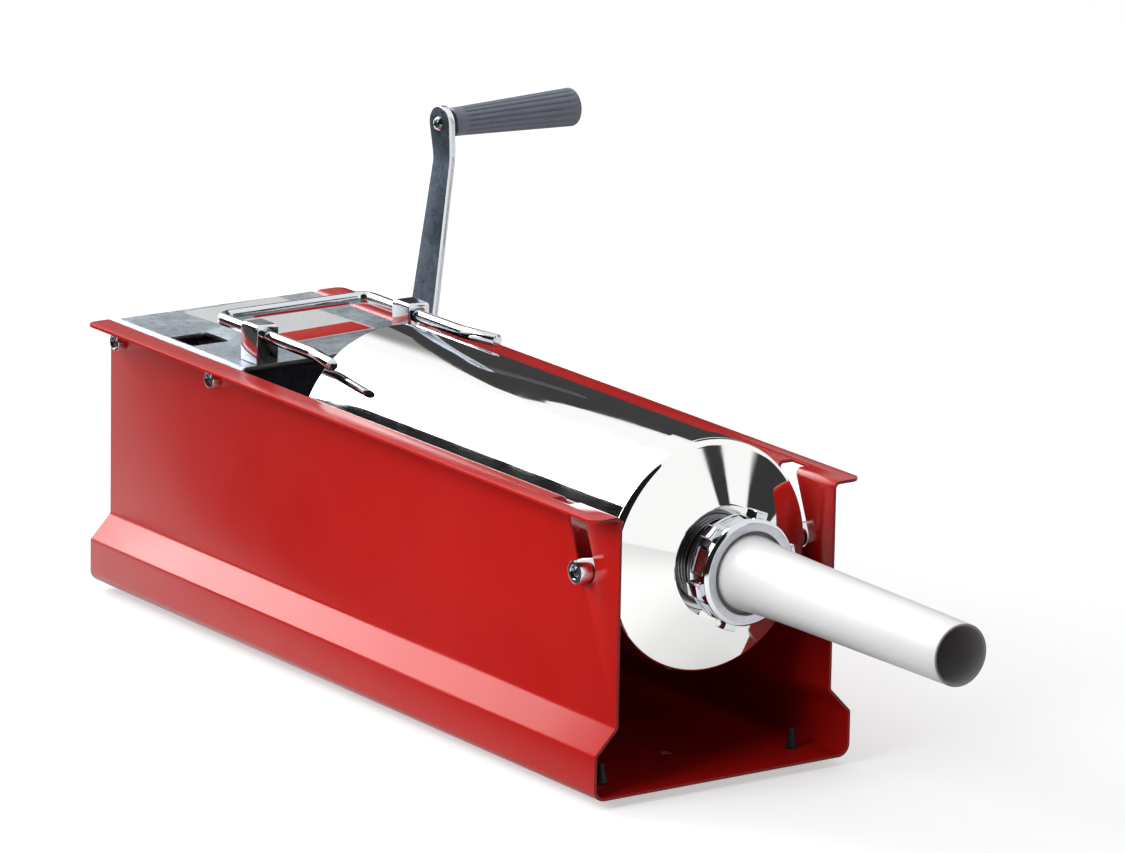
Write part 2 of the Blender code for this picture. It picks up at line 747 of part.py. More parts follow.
def funnel():
    seat = NECK_REACH + GAP
    face = NUT_REACH - NUT_LIP - GAP
    flange_r = NECK_R - GAP
    reaches = [FUNNEL_LENGTH * (i / 5) ** 2 for i in range(6)]
    outside = [(funnel_radius(reach), face + reach) for reach in reversed(reaches)]
    inside = [(funnel_radius(reach) - FUNNEL_WALL, face + reach) for reach in reaches]
    inside[0] = (inside[0][0], seat)
    profile = outside + [(flange_r, face), (flange_r, seat)] + inside
    return finish(turned("funnel", profile, on_axis(), FACING_FRONT), WHITE_PLASTIC)


def gearbox_housing():
    """Top plate with both sides folded down, between the walls of the base."""
    middle = at_depth((BOX_FRONT + BOX_BACK) / 2)
    outer = rounded_path([(-BOX_HALF, BOX_FLOOR_Z), (-BOX_HALF, HEIGHT), (BOX_HALF, HEIGHT),
                          (BOX_HALF, BOX_FLOOR_Z)], [BOX_BEND_R] * 2)
    inner_r = BOX_BEND_R - BOX_SHEET
    top = HEIGHT - BOX_SHEET
    inner = rounded_path([(BOX_INSIDE, BOX_FLOOR_Z), (BOX_INSIDE, top), (-BOX_INSIDE, top),
                          (-BOX_INSIDE, BOX_FLOOR_Z)], [inner_r] * 2)
    housing = flat("gearbox_housing", [outer + inner], BOX_LENGTH, (0, middle, 0), FACING_FRONT)
    tools = []
    for depth in STUD_DEPTHS:
        tools += wall_hole(SCREW_R + GAP, depth, HEIGHT - STUD_DROP)
    tools += wall_hole(BUSH_R + GAP, CRANK_DEPTH, CRANK_Z)
    tools += wall_hole(BUSH_R + GAP, DRIVE_DEPTH, DRIVE_Z)
    near = -BOX_INSIDE + WINDOW_EDGE
    front = at_depth(BOX_FRONT + WINDOW_BACK)
    window = rounded_outline([(near, front), (near + WINDOW, front),
                              (near + WINDOW, front + WINDOW), (near, front + WINDOW)],
                             WINDOW_CORNER_R)
    tools.append(flat("window", [window], 4 * BOX_SHEET, (0, 0, HEIGHT), FACING_UP))
    for side in (-1, 1):
        tools.append(rod("hole", SCREW_R + GAP, -2 * BOX_SHEET, BOX_SHEET,
                         block_place(side), FACING_UP))
    cut(housing, tools)
    return finish(housing, ZINC, smooth=False)


def rack_opening(clearance):
    half = RACK_WIDTH / 2 + clearance
    return rectangle(half, RACK_LOW_Z - clearance, RACK_LOW_Z + RACK_TALL + clearance)


def end_plate(name, face_depth, inward):
    """An end plate with a tab folded back at the top of each side; inward is +1 at the front."""
    half = BOX_INSIDE - GAP
    inner = half - BOX_SHEET
    near = at_depth(face_depth + inward * END_PLATE_INSET)
    web = near + inward * BOX_SHEET
    far = near + inward * END_PLATE_TAB
    outline = [(-half, near), (half, near), (half, far), (inner, far), (inner, web),
               (-inner, web), (-inner, far), (-half, far)]
    top = HEIGHT - BOX_BEND_R
    plate = flat(name, [outline], top - BOX_FLOOR_Z, (0, 0, (top + BOX_FLOOR_Z) / 2), FACING_UP)
    stud_depth = STUD_DEPTHS[0] if inward > 0 else STUD_DEPTHS[1]
    tools = wall_hole(SCREW_R + GAP, stud_depth, HEIGHT - STUD_DROP)
    tools.append(flat("opening", [rack_opening(GUIDE_WALL + GAP)], 4 * BOX_SHEET,
                      (0, near, 0), FACING_FRONT))
    below_tabs = (web + inward * END_PLATE_BEND, far + inward * BOX_SHEET)
    tools.append(box("below_tabs", (-BOX_HALF, min(below_tabs), BOX_FLOOR_Z - BOX_SHEET),
                     (BOX_HALF, max(below_tabs), HEIGHT - 2 * STUD_DROP)))
    cut(plate, tools)
    return finish(plate, DARK_STEEL if inward > 0 else ZINC, smooth=False)


def rack_guide(name, face_depth, inward):
    """A flanged plastic guide that sits in an end plate and carries the rack."""
    near = at_depth(face_depth + inward * END_PLATE_INSET)
    flange_near = BOX_SHEET + GAP
    flange_middle = near + inward * (flange_near + GUIDE_FLANGE / 2)
    sleeve_long = flange_near + GUIDE_FLANGE / 2
    guide = flat(name, [rack_opening(RUN + GUIDE_WALL + GUIDE_FLANGE_WIDE)], GUIDE_FLANGE,
                 (0, flange_middle, 0), FACING_FRONT)
    sleeve = flat("sleeve", [rack_opening(GUIDE_WALL)], sleeve_long,
                  (0, near + inward * sleeve_long / 2, 0), FACING_FRONT)
    add(guide, [sleeve])
    cut(guide, [flat("hole", [rack_opening(RUN)], 8 * GUIDE_FLANGE, (0, near, 0), FACING_FRONT)])
    return finish(guide, WHITE_PLASTIC, smooth=False)


def bush(name, side, depth, height, outer):
    inner = BOX_INSIDE - GAP
    profile = [(SHAFT_R + RUN, outer), (BUSH_R, outer), (BUSH_R, inner), (BUSH_FLANGE_R, inner),
               (BUSH_FLANGE_R, inner - BUSH_FLANGE), (SHAFT_R + RUN, inner - BUSH_FLANGE)]
    piece = turned(name, profile, (0, at_depth(depth), height), outward(side), COARSE)
    return finish(piece, BRONZE)


def gear_stud(name, side, depth):
    """A chromed spacer sleeve outside the wall, sunk for its screw's head."""
    inner = OUTER_HALF + GAP
    outer = OUTER_HALF + STUD_REACH
    recess = outer - SCREW_HEAD
    profile = [(SCREW_HEAD_R + GAP, outer), (STUD_R, outer), (STUD_R, inner),
               (SCREW_R + GAP, inner), (SCREW_R + GAP, recess), (SCREW_HEAD_R + GAP, recess)]
    location = (0, at_depth(depth), HEIGHT - STUD_DROP)
    return finish(turned(name, profile, location, outward(side), SMALL), CHROME)


def gear_stud_screw(name, side, depth):
    seat = OUTER_HALF + STUD_REACH - SCREW_HEAD + GAP
    tip = BOX_INSIDE - 2 * BOX_SHEET
    return headed_screw(name, (0, at_depth(depth), HEIGHT - STUD_DROP), outward(side), tip, seat)


def involute(angle):
    return math.tan(angle) - angle


def gear_outline(teeth, module, first_tooth, flank_steps):
    """A spur gear's outline with one tooth centred on the angle first_tooth."""
    pitch_r = module * teeth / 2
    base_r = pitch_r * math.cos(PRESSURE)
    tip_r = pitch_r + TOOTH_TOP * module
    root_r = pitch_r - TOOTH_ROOT * module
    pitch_half = math.pi / (2 * teeth) - BACKLASH / (2 * pitch_r)
    start_r = max(base_r, root_r)
    flank = []
    for i in range(flank_steps + 1):
        radius = start_r + (tip_r - start_r) * i / flank_steps
        rolled = involute(math.acos(min(1, base_r / radius)))
        flank.append((radius, pitch_half + involute(PRESSURE) - rolled))
    if root_r < base_r:
        flank.insert(0, (root_r, flank[0][1]))
    side = [(radius, -half) for radius, half in flank]
    side += [(radius, half) for radius, half in reversed(flank)]
    outline = []
    for i in range(teeth):
        middle = first_tooth + 2 * math.pi * i / teeth
        for radius, angle in side:
            outline.append((radius * math.cos(middle + angle), radius * math.sin(middle + angle)))
    return outline


def toward_crank():
    """The angle in the Y and Z plane from the drive shaft to the crank's shaft."""
    return math.atan2(CRANK_Z - DRIVE_Z, CRANK_DEPTH - DRIVE_DEPTH)


def shaft_bore():
    return arc((0, 0), SHAFT_R + GAP, 0, 2 * math.pi * 15 / 16, 15)


def rack_pinion():
    up = math.pi / 2
    outline = gear_outline(RACK_PINION_TEETH, RACK_MODULE, up, 2)
    location = (0, at_depth(DRIVE_DEPTH), DRIVE_Z)
    pinion = flat("rack_pinion", [outline, shaft_bore()], RACK_PINION_WIDE, location, FACING_RIGHT)
    return finish(pinion, GEAR_STEEL, smooth=False)


def reduction_gear():
    """The large gear, turned thinner between its hub and its rim."""
    outline = gear_outline(GEAR_TEETH, GEAR_MODULE, toward_crank(), 1)
    middle = GEAR_OFFSET + GEAR_WIDE / 2
    location = (middle, at_depth(DRIVE_DEPTH), DRIVE_Z)
    gear = flat("reduction_gear", [outline, shaft_bore()], GEAR_WIDE, location, FACING_RIGHT)
    rim_r = GEAR_MODULE * GEAR_TEETH / 2 - TOOTH_ROOT * GEAR_MODULE - GEAR_RIM
    deep = (GEAR_WIDE - GEAR_WEB) / 2
    tools = []
    for sense in (-1, 1):
        face = sense * GEAR_WIDE / 2
        low = min(face + sense * MM, face - sense * deep)
        high = max(face + sense * MM, face - sense * deep)
        tools.append(tube("web", rim_r, GEAR_HUB_R, low, high, location, FACING_RIGHT))
    cut(gear, tools)
    return finish(gear, GEAR_STEEL, smooth=False)


def crank_pinion():
    gap_toward_gear = toward_crank() + math.pi + math.pi / CRANK_PINION_TEETH
    outline = gear_outline(CRANK_PINION_TEETH, GEAR_MODULE, gap_toward_gear, 2)
    location = (GEAR_OFFSET + GEAR_WIDE / 2, at_depth(CRANK_DEPTH), CRANK_Z)
    pinion = flat("crank_pinion", [outline, shaft_bore()], CRANK_PINION_WIDE, location,
                  FACING_RIGHT)
    return finish(pinion, GEAR_STEEL, smooth=False)


def squared_shaft(name, location, round_end, square_end, parent=None):
    """A shaft along X with a squared right end."""
    shaft = rod(name, SHAFT_R, -BOX_HALF + GAP, round_end, location, FACING_RIGHT, COARSE, parent)
    middle = (square_end + round_end) / 2 - MM
    square = flat("square", [square_outline(SQUARE)], square_end - round_end + 2 * MM,
                  (middle, location[1], location[2]), FACING_RIGHT, parent)
    return add(shaft, [square])


def crank_shaft(axis):
    """The crank's shaft, tapped at its end for the bolt that holds the arm."""
    square_end = HUB_X + ARM_THICK - GAP
    shaft = squared_shaft("crank_shaft", (0, 0, 0), HUB_X - GAP, square_end, axis)
    deep = square_end - 3 * SQUARE
    hole = rod("hole", BOLT_R + GAP, deep, 2 * square_end, (0, 0, 0), FACING_RIGHT, parent=axis)
    return finish(cut(shaft, [hole]), GEAR_STEEL)


def drive_shaft():
    """The gear shaft, whose square end takes the crank for a fast return."""
    shaft = squared_shaft("drive_shaft", (0, at_depth(DRIVE_DEPTH), DRIVE_Z),
                          OUTER_HALF + BUSH_PROUD, OUTER_HALF + FAST_END)
    return finish(shaft, GEAR_STEEL)


def shaft_collar(name, depth, height):
    """A set collar inside the left bush that keeps a shaft in place."""
    high = -BOX_INSIDE + BUSH_FLANGE + 2 * GAP + COLLAR_WIDE
    profile_low = high - COLLAR_WIDE
    collar = tube(name, COLLAR_R, SHAFT_R + GAP, profile_low, high,
                  (0, at_depth(depth), height), FACING_RIGHT, SMALL)
    return finish(collar, ZINC)


def rack_bar():
    """The square bar with teeth along its underside, drawn as a side outline."""
    pitch = math.pi * RACK_MODULE
    front = PISTON_FRONT + PISTON_THICK + GAP
    rear = BOX_BACK + MM
    top = RACK_LOW_Z + RACK_TALL
    root = RACK_PITCH_Z + TOOTH_ROOT * RACK_MODULE
    tip_half = pitch / 4 - BACKLASH / 2 - TOOTH_TOP * RACK_MODULE * math.tan(PRESSURE)
    root_half = pitch / 4 - BACKLASH / 2 + TOOTH_ROOT * RACK_MODULE * math.tan(PRESSURE)
    first = DRIVE_DEPTH + pitch / 2
    behind = math.floor((rear - first - pitch / 2) / pitch)
    ahead = math.ceil((STROKE + pitch) / pitch)
    outline = [(front, top), (front, RACK_LOW_Z)]
    for i in range(-ahead, behind + 1):
        middle = first + i * pitch
        if i == -ahead:
            outline.append((middle - pitch, RACK_LOW_Z))
            outline.append((middle - pitch + 2 * (root_half - tip_half), root))
        outline += [(middle - root_half, root), (middle - tip_half, RACK_LOW_Z),
                    (middle + tip_half, RACK_LOW_Z), (middle + root_half, root)]
    outline += [(rear, root), (rear, top)]
    outline = [(at_depth(y), z) for y, z in outline]
    bar = flat("rack_bar", [outline], RACK_WIDTH, (0, 0, 0), FACING_RIGHT)
    hole = rod("hole", BOLT_R + GAP, -front - 3 * SQUARE, -front + MM, on_axis(), FACING_FRONT)
    cut(bar, [hole], "MANIFOLD")
    return finish(bar, GEAR_STEEL, smooth=False)


def piston():
    """The pressing disc, with a groove for its seal and a recess for its bolt."""
    radius = BORE_R - PISTON_PLAY
    groove_r = radius - SEAL_DEPTH
    half = SEAL_WIDTH / 2
    middle = -PISTON_FRONT - PISTON_THICK / 2
    front = -PISTON_FRONT
    rear = front - PISTON_THICK
    recess_r = 2.5 * BOLT_R
    recess = front - BOLT_R * 1.5
    profile = [(recess_r, front), (radius, front), (radius, middle + half),
               (groove_r, middle + half), (groove_r, middle - half),
               (radius, middle - half), (radius, rear), (BOLT_R + GAP, rear),
               (BOLT_R + GAP, recess), (recess_r, recess)]
    return finish(turned("piston", profile, on_axis(), FACING_FRONT, FINE), WHITE_PLASTIC)


def piston_seal():
    radius = BORE_R - PISTON_PLAY
    half = SEAL_WIDTH / 2 - GAP
    middle = -PISTON_FRONT - PISTON_THICK / 2
    outer = BORE_R - GAP
    inner = radius - SEAL_DEPTH + GAP
    profile = [(inner, middle + half), (outer, middle), (inner, middle - half)]
    return finish(turned("piston_seal", profile, on_axis(), FACING_FRONT, FINE), RUBBER)


def hex_bolt(name, tip, seat, location, rotation, parent=None):
    """A bolt with a hexagon head, along its own Z."""
    head_high = seat + 1.2 * BOLT_R
    profile = [(0, seat + BOLT_R / 2), (BOLT_R, seat + BOLT_R / 2), (BOLT_R, tip), (0, tip)]
    bolt = turned(name, profile, location, rotation, SMALL, ring=False, parent=parent)
    hexagon = arc((0, 0), 1.85 * BOLT_R, 0, 2 * math.pi * 5 / 6, 5)
    offset = Matrix.Translation((0, 0, (seat + head_high) / 2))
    head = flat("head", [hexagon], head_high - seat, (0, 0, 0), (0, 0, 0))
    bpy.context.view_layer.update()
    head.matrix_world = bolt.matrix_world @ offset
    add(bolt, [head])
    return finish(bolt, CHROME)


def piston_bolt():
    seat = -PISTON_FRONT - BOLT_R * 1.5 + GAP
    tip = -(PISTON_FRONT + PISTON_THICK) - 2 * SQUARE
    return hex_bolt("piston_bolt", tip, seat, on_axis(), FACING_FRONT)


def block_place(side):
    x = side * (BAIL_X + BLOCK_SHIFT)
    return (x, at_depth(BOX_FRONT + BLOCK_LONG / 2), HEIGHT)


def bail_block(side):
    """A block on the gearbox that the bail slides through."""
    x, y, z = block_place(side)
    half = Vector((BLOCK_WIDE / 2, BLOCK_LONG / 2, 0))
    base = Vector((x, y, z + GAP))
    block = box("bail_block_" + side_name(side), base - half,
                base + half + Vector((0, 0, BLOCK_TALL)))
    bm = bmesh.new()
    bm.from_mesh(block.data)
    top = [edge for edge in bm.edges if min(v.co.z for v in edge.verts) > 0]
    bmesh.ops.bevel(bm, geom=top, offset=BLOCK_BEVEL, segments=3, profile=0.5, affect="EDGES")
    bm.to_mesh(block.data)
    bm.free()
    bore = rod("bore", BAIL_R + RUN, -BLOCK_LONG, BLOCK_LONG, (side * BAIL_X, y, BAIL_Z),
               FACING_FRONT, COARSE)
    deep = (BAIL_Z - BAIL_R - HEIGHT) / 2
    tapped = rod("tapped", SCREW_R + GAP, -MM, deep, base, FACING_UP)
    cut(block, [bore, tapped])
    return finish(block, CHROME)


def block_screw(side):
    """The screw from inside the gearbox that holds a block."""
    x, y, z = block_place(side)
    deep = (BAIL_Z - BAIL_R - HEIGHT) / 2 - GAP
    location = (x, y, z)
    return headed_screw("block_screw_" + side_name(side), location, FACING_DOWN, -deep,
                        BOX_SHEET + GAP)


def lock_bail():
    """The bent wire bail: a cross-bar, two legs through the blocks and splayed tails."""
    back = BOX_FRONT + BAIL_BACK
    knee = TUBE_REAR + BAIL_LEG_PAST_TUBE - BAIL_TAIL / 2
    tail_x = BAIL_X + BAIL_TAIL * math.sin(BAIL_SPLAY)
    tail = knee - BAIL_TAIL * math.cos(BAIL_SPLAY)
    left = [(-tail_x, at_depth(tail)), (-BAIL_X, at_depth(knee)), (-BAIL_X, at_depth(back))]
    right = [(-x, y) for x, y in reversed(left)]
    radii = [4 * BAIL_BEND_R, BAIL_BEND_R, BAIL_BEND_R, 4 * BAIL_BEND_R]
    path = rounded_path(left + right, radii, 5)
    curve = bpy.data.curves.new("lock_bail", "CURVE")
    curve.dimensions = "3D"
    curve.bevel_depth = BAIL_R
    curve.bevel_resolution = 2
    curve.use_fill_caps = True
    spline = curve.splines.new("POLY")
    spline.points.add(len(path) - 1)
    for point, corner in zip(spline.points, path):
        point.co = (corner.x, corner.y, 0, 1)
    bail = bpy.data.objects.new("lock_bail", curve)
    CUTTERS.objects.link(bail)
    place(bail, (0, 0, BAIL_Z), FACING_UP)
    return finish(as_mesh(bail), CHROME)


def crank_axis():
    """An empty on the crank's axis, turned to where the crank stands."""
    axis = bpy.data.objects.new("crank_axis", None)
    PARTS.objects.link(axis)
    return place(axis, (0, at_depth(CRANK_DEPTH), CRANK_Z), (-CRANK_TILT, 0, 0))


def arm_offset(reach):
    """How far the leaning arm stands out at a distance from its hub."""
    start = ARM_FLAT
    end = CRANK_R - ARM_NECK_BELOW
    return (min(max(reach, start), end) - start) * math.tan(ARM_LEAN)


def crank_arm(axis):
    """A flat tapered bar with a flat hub, a leaning middle and an upright head."""
    neck = CRANK_R - ARM_NECK_BELOW
    outline = arc((0, 0), ARM_HUB_R, -math.pi, 0, 10)
    outline.append(Vector((ARM_NECK_HALF, neck)))
    neck_far = math.hypot(ARM_NECK_HALF, ARM_NECK_BELOW)
    neck_angle = math.atan2(ARM_NECK_BELOW, ARM_NECK_HALF)
    open_angle = neck_angle - math.acos(ARM_HEAD_R / neck_far)
    outline += arc((0, CRANK_R), ARM_HEAD_R, -open_angle, math.pi + open_angle, 12)
    outline.append(Vector((-ARM_NECK_HALF, neck)))
    square = square_outline(SQUARE + 2 * GAP)
    pin_hole = arc((0, CRANK_R), SPINDLE_R + GAP, 0, 2 * math.pi * 11 / 12, 11)
    middle = HUB_X + ARM_THICK / 2
    arm = flat("crank_arm", [outline, square, pin_hole], ARM_THICK, (middle, 0, 0),
               FACING_RIGHT, axis)
    bm = bmesh.new()
    bm.from_mesh(arm.data)
    for reach in (ARM_FLAT, neck):
        everything = bm.verts[:] + bm.edges[:] + bm.faces[:]
        bmesh.ops.bisect_plane(bm, geom=everything, plane_co=(0, reach, 0),
                               plane_no=(0, 1, 0))
    for vert in bm.verts:
        vert.co.z += arm_offset(vert.co.y)
    bm.to_mesh(arm.data)
    bm.free()
    return finish(arm, GEAR_STEEL, smooth=False)


def crank_washer(axis):
    low = HUB_X + ARM_THICK + GAP
    washer = tube("crank_washer", 2.6 * BOLT_R, BOLT_R + GAP, low, low + 1.5 * MM,
                  (0, 0, 0), FACING_RIGHT, COARSE, axis)
    return finish(washer, CHROME)


def crank_bolt(axis):
    seat = HUB_X + ARM_THICK + 2 * GAP + 1.5 * MM
    return hex_bolt("crank_bolt", HUB_X - 2 * SQUARE, seat, (0, 0, 0), FACING_RIGHT, axis)


def head_face():
    """Where the outer face of the arm's head stands, along X."""
    return HUB_X + ARM_THICK + arm_offset(CRANK_R)


def grip_washer(axis):
    low = head_face() + GAP
    washer = tube("grip_washer", GRIP_NEAR_R, SPINDLE_R + GAP, low, low + GRIP_WASHER,
                  (0, 0, CRANK_R), FACING_RIGHT, COARSE, axis)
    return finish(washer, RUBBER)


def grip_spindle(axis):
    """The screw that runs through the arm's head and carries the turning grip."""
    inner = head_face() - ARM_THICK
    tip = head_face() + GRIP_WASHER + 0.8 * GRIP_LENGTH
    head_r = 1.5 * SPINDLE_R
    profile = [(0, tip), (SPINDLE_R, tip), (SPINDLE_R, inner - GAP), (head_r, inner - GAP),
               (head_r, inner - SPINDLE_R / 2), (head_r - MM, inner - SPINDLE_R),
               (0, inner - SPINDLE_R)]
    spindle = turned("grip_spindle", profile, (0, 0, CRANK_R), FACING_RIGHT, COARSE, False, axis)
    return finish(spindle, CHROME)


def grip(axis):
    """A tapered handgrip that turns on its spindle, with flutes between smooth ends."""
    near = head_face() + GRIP_WASHER + 2 * GAP
    far = near + GRIP_LENGTH
    bore = SPINDLE_R + RUN
    bore_end = head_face() + GRIP_WASHER + 0.8 * GRIP_LENGTH + 2 * GAP
    shoulder = far - GRIP_EDGE_R
    outside = [(0, far)]
    for corner in arc((GRIP_FAR_R - GRIP_EDGE_R, shoulder), GRIP_EDGE_R, math.pi / 2, 0, 3):
        outside.append(tuple(corner))
    flute_from = near + GRIP_SMOOTH
    flute_to = shoulder
    for share in (0.98, 0.04):
        height = flute_from + (flute_to - flute_from) * share
        radius = GRIP_NEAR_R + (GRIP_FAR_R - GRIP_NEAR_R) * share
        outside.append((radius, height))
    outside += [(GRIP_NEAR_R, flute_from), (GRIP_NEAR_R, near), (bore, near),
                (bore, bore_end), (0, bore_end)]
    piece = turned("grip", outside, (0, 0, CRANK_R), FACING_RIGHT, 2 * GRIP_FLUTES, False, axis)
    for vert in piece.data.vertices:
        radius = math.hypot(vert.co.x, vert.co.y)
        fluted = flute_from < vert.co.z < flute_to - MM / 2
        if radius > 2 * bore and fluted:
            angle = math.atan2(vert.co.y, vert.co.x)
            wave = 0.5 - 0.5 * math.cos(GRIP_FLUTES * angle)
            shrink = 1 - GRIP_FLUTE_DEEP * wave / radius
            vert.co.x *= shrink
            vert.co.y *= shrink
    return finish(piece, GRIP_PLASTIC)


def build_base():
    base_frame()
    for name, x, depth in FOOT_PLACES:
        rubber_foot(name, x, depth)
    cylinder_saddle()
    for side in (-1, 1):
        saddle_rivet(side)


def build_cylinder():
    cylinder_tube()
    cylinder_cap()
    spout_neck()
    ring_nut()
    funnel()
    for side in (-1, 1):
        trunnion(side)
        trunnion_screw(side)


def build_gearbox():
    gearbox_housing()
    end_plate("gearbox_front_plate", BOX_FRONT, 1)
    end_plate("gearbox_rear_plate", BOX_BACK, -1)
    rack_guide("rack_guide_front", BOX_FRONT, 1)
    rack_guide("rack_guide_rear", BOX_BACK, -1)
    right_end = OUTER_HALF + BUSH_PROUD
    left_end = BOX_HALF
    for name, depth, height in (("crank_bush", CRANK_DEPTH, CRANK_Z),
                                ("drive_bush", DRIVE_DEPTH, DRIVE_Z)):
        bush(name + "_right", 1, depth, height, right_end)
        bush(name + "_left", -1, depth, height, left_end)
    shaft_collar("crank_shaft_collar", CRANK_DEPTH, CRANK_Z)
    shaft_collar("drive_shaft_collar", DRIVE_DEPTH, DRIVE_Z)
    for side in (-1, 1):
        for end, depth in zip(("front", "rear"), STUD_DEPTHS):
            name = "gearbox_stud_" + end + "_" + side_name(side)
            gear_stud(name, side, depth)
            gear_stud_screw(name + "_screw", side, depth)
        bail_block(side)
        block_screw(side)
    lock_bail()


def build_drive():
    rack_bar()
    piston()
    piston_seal()
    piston_bolt()
    drive_shaft()
    rack_pinion()
    reduction_gear()
    crank_pinion()


def build_crank():
    axis = crank_axis()
    crank_shaft(axis)
    crank_arm(axis)
    crank_washer(axis)
    crank_bolt(axis)
    grip_spindle(axis)
    grip_washer(axis)
    grip(axis)


def stand_on_origin():
    """Brings the sole of the front left foot to the origin, cutters included."""
    _, x, depth = FOOT_PLACES[0]
    shift = Vector((-x, -at_depth(depth), FOOT_TALL))
    for obj in bpy.data.objects:
        if obj.parent is None:
            obj.location += shift


build_base()
build_cylinder()
build_gearbox()
build_drive()
build_crank()
stand_on_origin()
bpy.context.view_layer.update()
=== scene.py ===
# %% [markdown]
# # A hand-cranked sausage stuffer
# The machine is a folded red trough. A polished cylinder hangs in it on two trunnions,
# a crank drives a toothed bar with a piston, and a plastic funnel is held by a ring nut.
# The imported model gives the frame: where each piece is and which body it moves with.
# Each cell below makes one piece or one finish and explains why it is made that way.

# %% Load the frame
import json
import math

import bmesh
import bpy
from mathutils import Euler, Matrix, Vector


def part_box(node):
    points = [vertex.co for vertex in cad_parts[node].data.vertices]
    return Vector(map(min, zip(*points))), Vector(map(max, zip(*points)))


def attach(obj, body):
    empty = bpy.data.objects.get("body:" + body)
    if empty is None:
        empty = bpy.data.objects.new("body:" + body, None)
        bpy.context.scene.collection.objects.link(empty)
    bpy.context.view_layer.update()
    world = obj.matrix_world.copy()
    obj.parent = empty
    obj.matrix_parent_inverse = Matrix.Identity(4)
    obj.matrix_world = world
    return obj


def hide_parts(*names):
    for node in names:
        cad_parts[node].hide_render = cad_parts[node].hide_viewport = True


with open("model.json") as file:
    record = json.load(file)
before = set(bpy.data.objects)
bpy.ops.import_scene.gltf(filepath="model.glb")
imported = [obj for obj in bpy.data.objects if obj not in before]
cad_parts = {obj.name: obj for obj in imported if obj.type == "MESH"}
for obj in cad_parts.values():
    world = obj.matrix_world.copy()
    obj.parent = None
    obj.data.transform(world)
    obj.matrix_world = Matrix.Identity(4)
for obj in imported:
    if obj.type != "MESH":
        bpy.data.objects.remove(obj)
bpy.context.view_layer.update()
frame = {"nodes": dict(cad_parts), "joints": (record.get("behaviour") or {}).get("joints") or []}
MM = 0.001

# %% [markdown]
# ## Places that several pieces share
# The frame's origin is the sole of one foot, but the machine is nearly the same on its
# left and right. The cylinder's axis is the middle of the tube's box.

# %% Shared places
low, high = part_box("base_frame")
CENTRE = Vector(((low.x + high.x) / 2, (low.y + high.y) / 2, low.z))


def node_box(name):
    """The corners of a CAD node, measured from the middle of the base's underside."""
    low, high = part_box(name)
    return low - CENTRE, high - CENTRE


base_low, base_high = node_box("base_frame")
tube_low, tube_high = node_box("cylinder_tube")
top_low, top_high = node_box("gearbox_housing")
FRONT = base_low.y
REAR = base_high.y
AXIS_Z = (tube_low.z + tube_high.z) / 2
TUBE_R = (tube_high.x - tube_low.x) / 2
TOP_Z = base_high.z
SHEET = 2 * MM
print("cylinder axis at", round(AXIS_Z, 4), "radius", round(TUBE_R, 4))

# %% [markdown]
# ## Drawing outlines
# A folded sheet, a bent wire and a turned ring all start as a line with rounded corners.
# These helpers make arcs and replace each corner of a path by an arc.


# %% Outline helpers
def arc(centre, radius, start, end, count):
    """Points on a circle between two angles, both ends included."""
    points = []
    for i in range(count + 1):
        angle = start + (end - start) * i / count
        points.append(Vector((centre[0] + radius * math.cos(angle),
                              centre[1] + radius * math.sin(angle))))
    return points


def corner_arc(before, corner, after, radius, count):
    """The arc that rounds one corner of a path."""
    to_before = (before - corner).normalized()
    to_after = (after - corner).normalized()
    half = to_before.angle(to_after) / 2
    start = corner + to_before * radius / math.tan(half)
    centre = corner + (to_before + to_after).normalized() * radius / math.sin(half)
    turn = math.pi - 2 * half
    if to_before.cross(to_after) > 0:
        turn = -turn
    spoke = start - centre
    return [centre + Matrix.Rotation(turn * i / count, 2) @ spoke for i in range(count + 1)]


def soft_path(points, radii, count=8):
    """An open path whose inner corners have the given radii; 0 keeps a corner sharp."""
    points = [Vector(p) for p in points]
    path = [points[0]]
    for before, corner, after, radius in zip(points, points[1:], points[2:], radii):
        if radius > 0:
            path += corner_arc(before, corner, after, radius, count)
        else:
            path.append(corner)
    path.append(points[-1])
    return path


def soft_loop(points, radius, count=8):
    """A closed outline with the same radius at each corner."""
    points = [Vector(p) for p in points]
    loop = []
    for i, corner in enumerate(points):
        loop += corner_arc(points[i - 1], corner, points[(i + 1) % len(points)], radius, count)
    return loop


# %% [markdown]
# ## Making meshes
# Turned pieces are rings of points round an axis, and flat pieces are an outline with a
# thickness. The place goes into the mesh, so that every object keeps its origin at the
# frame's origin and a pattern on Object coordinates doesn't slide.


# %% Mesh helpers
TO_FRONT = Euler((math.pi / 2, 0, 0)).to_matrix().to_4x4()
TO_RIGHT = Euler((math.pi / 2, 0, math.pi / 2)).to_matrix().to_4x4()
TO_LEFT = Euler((math.pi / 2, 0, -math.pi / 2)).to_matrix().to_4x4()
UPRIGHT = Matrix.Identity(4)


def at(x, y, z, turn=UPRIGHT):
    """A place in the frame, with the direction that local Z looks in."""
    return Matrix.Translation((x, y, z)) @ turn


def add_object(name, bm):
    """Turns a bmesh into an object in the scene."""
    mesh = bpy.data.meshes.new(name)
    bm.to_mesh(mesh)
    bm.free()
    obj = bpy.data.objects.new(name, mesh)
    bpy.context.scene.collection.objects.link(obj)
    return obj


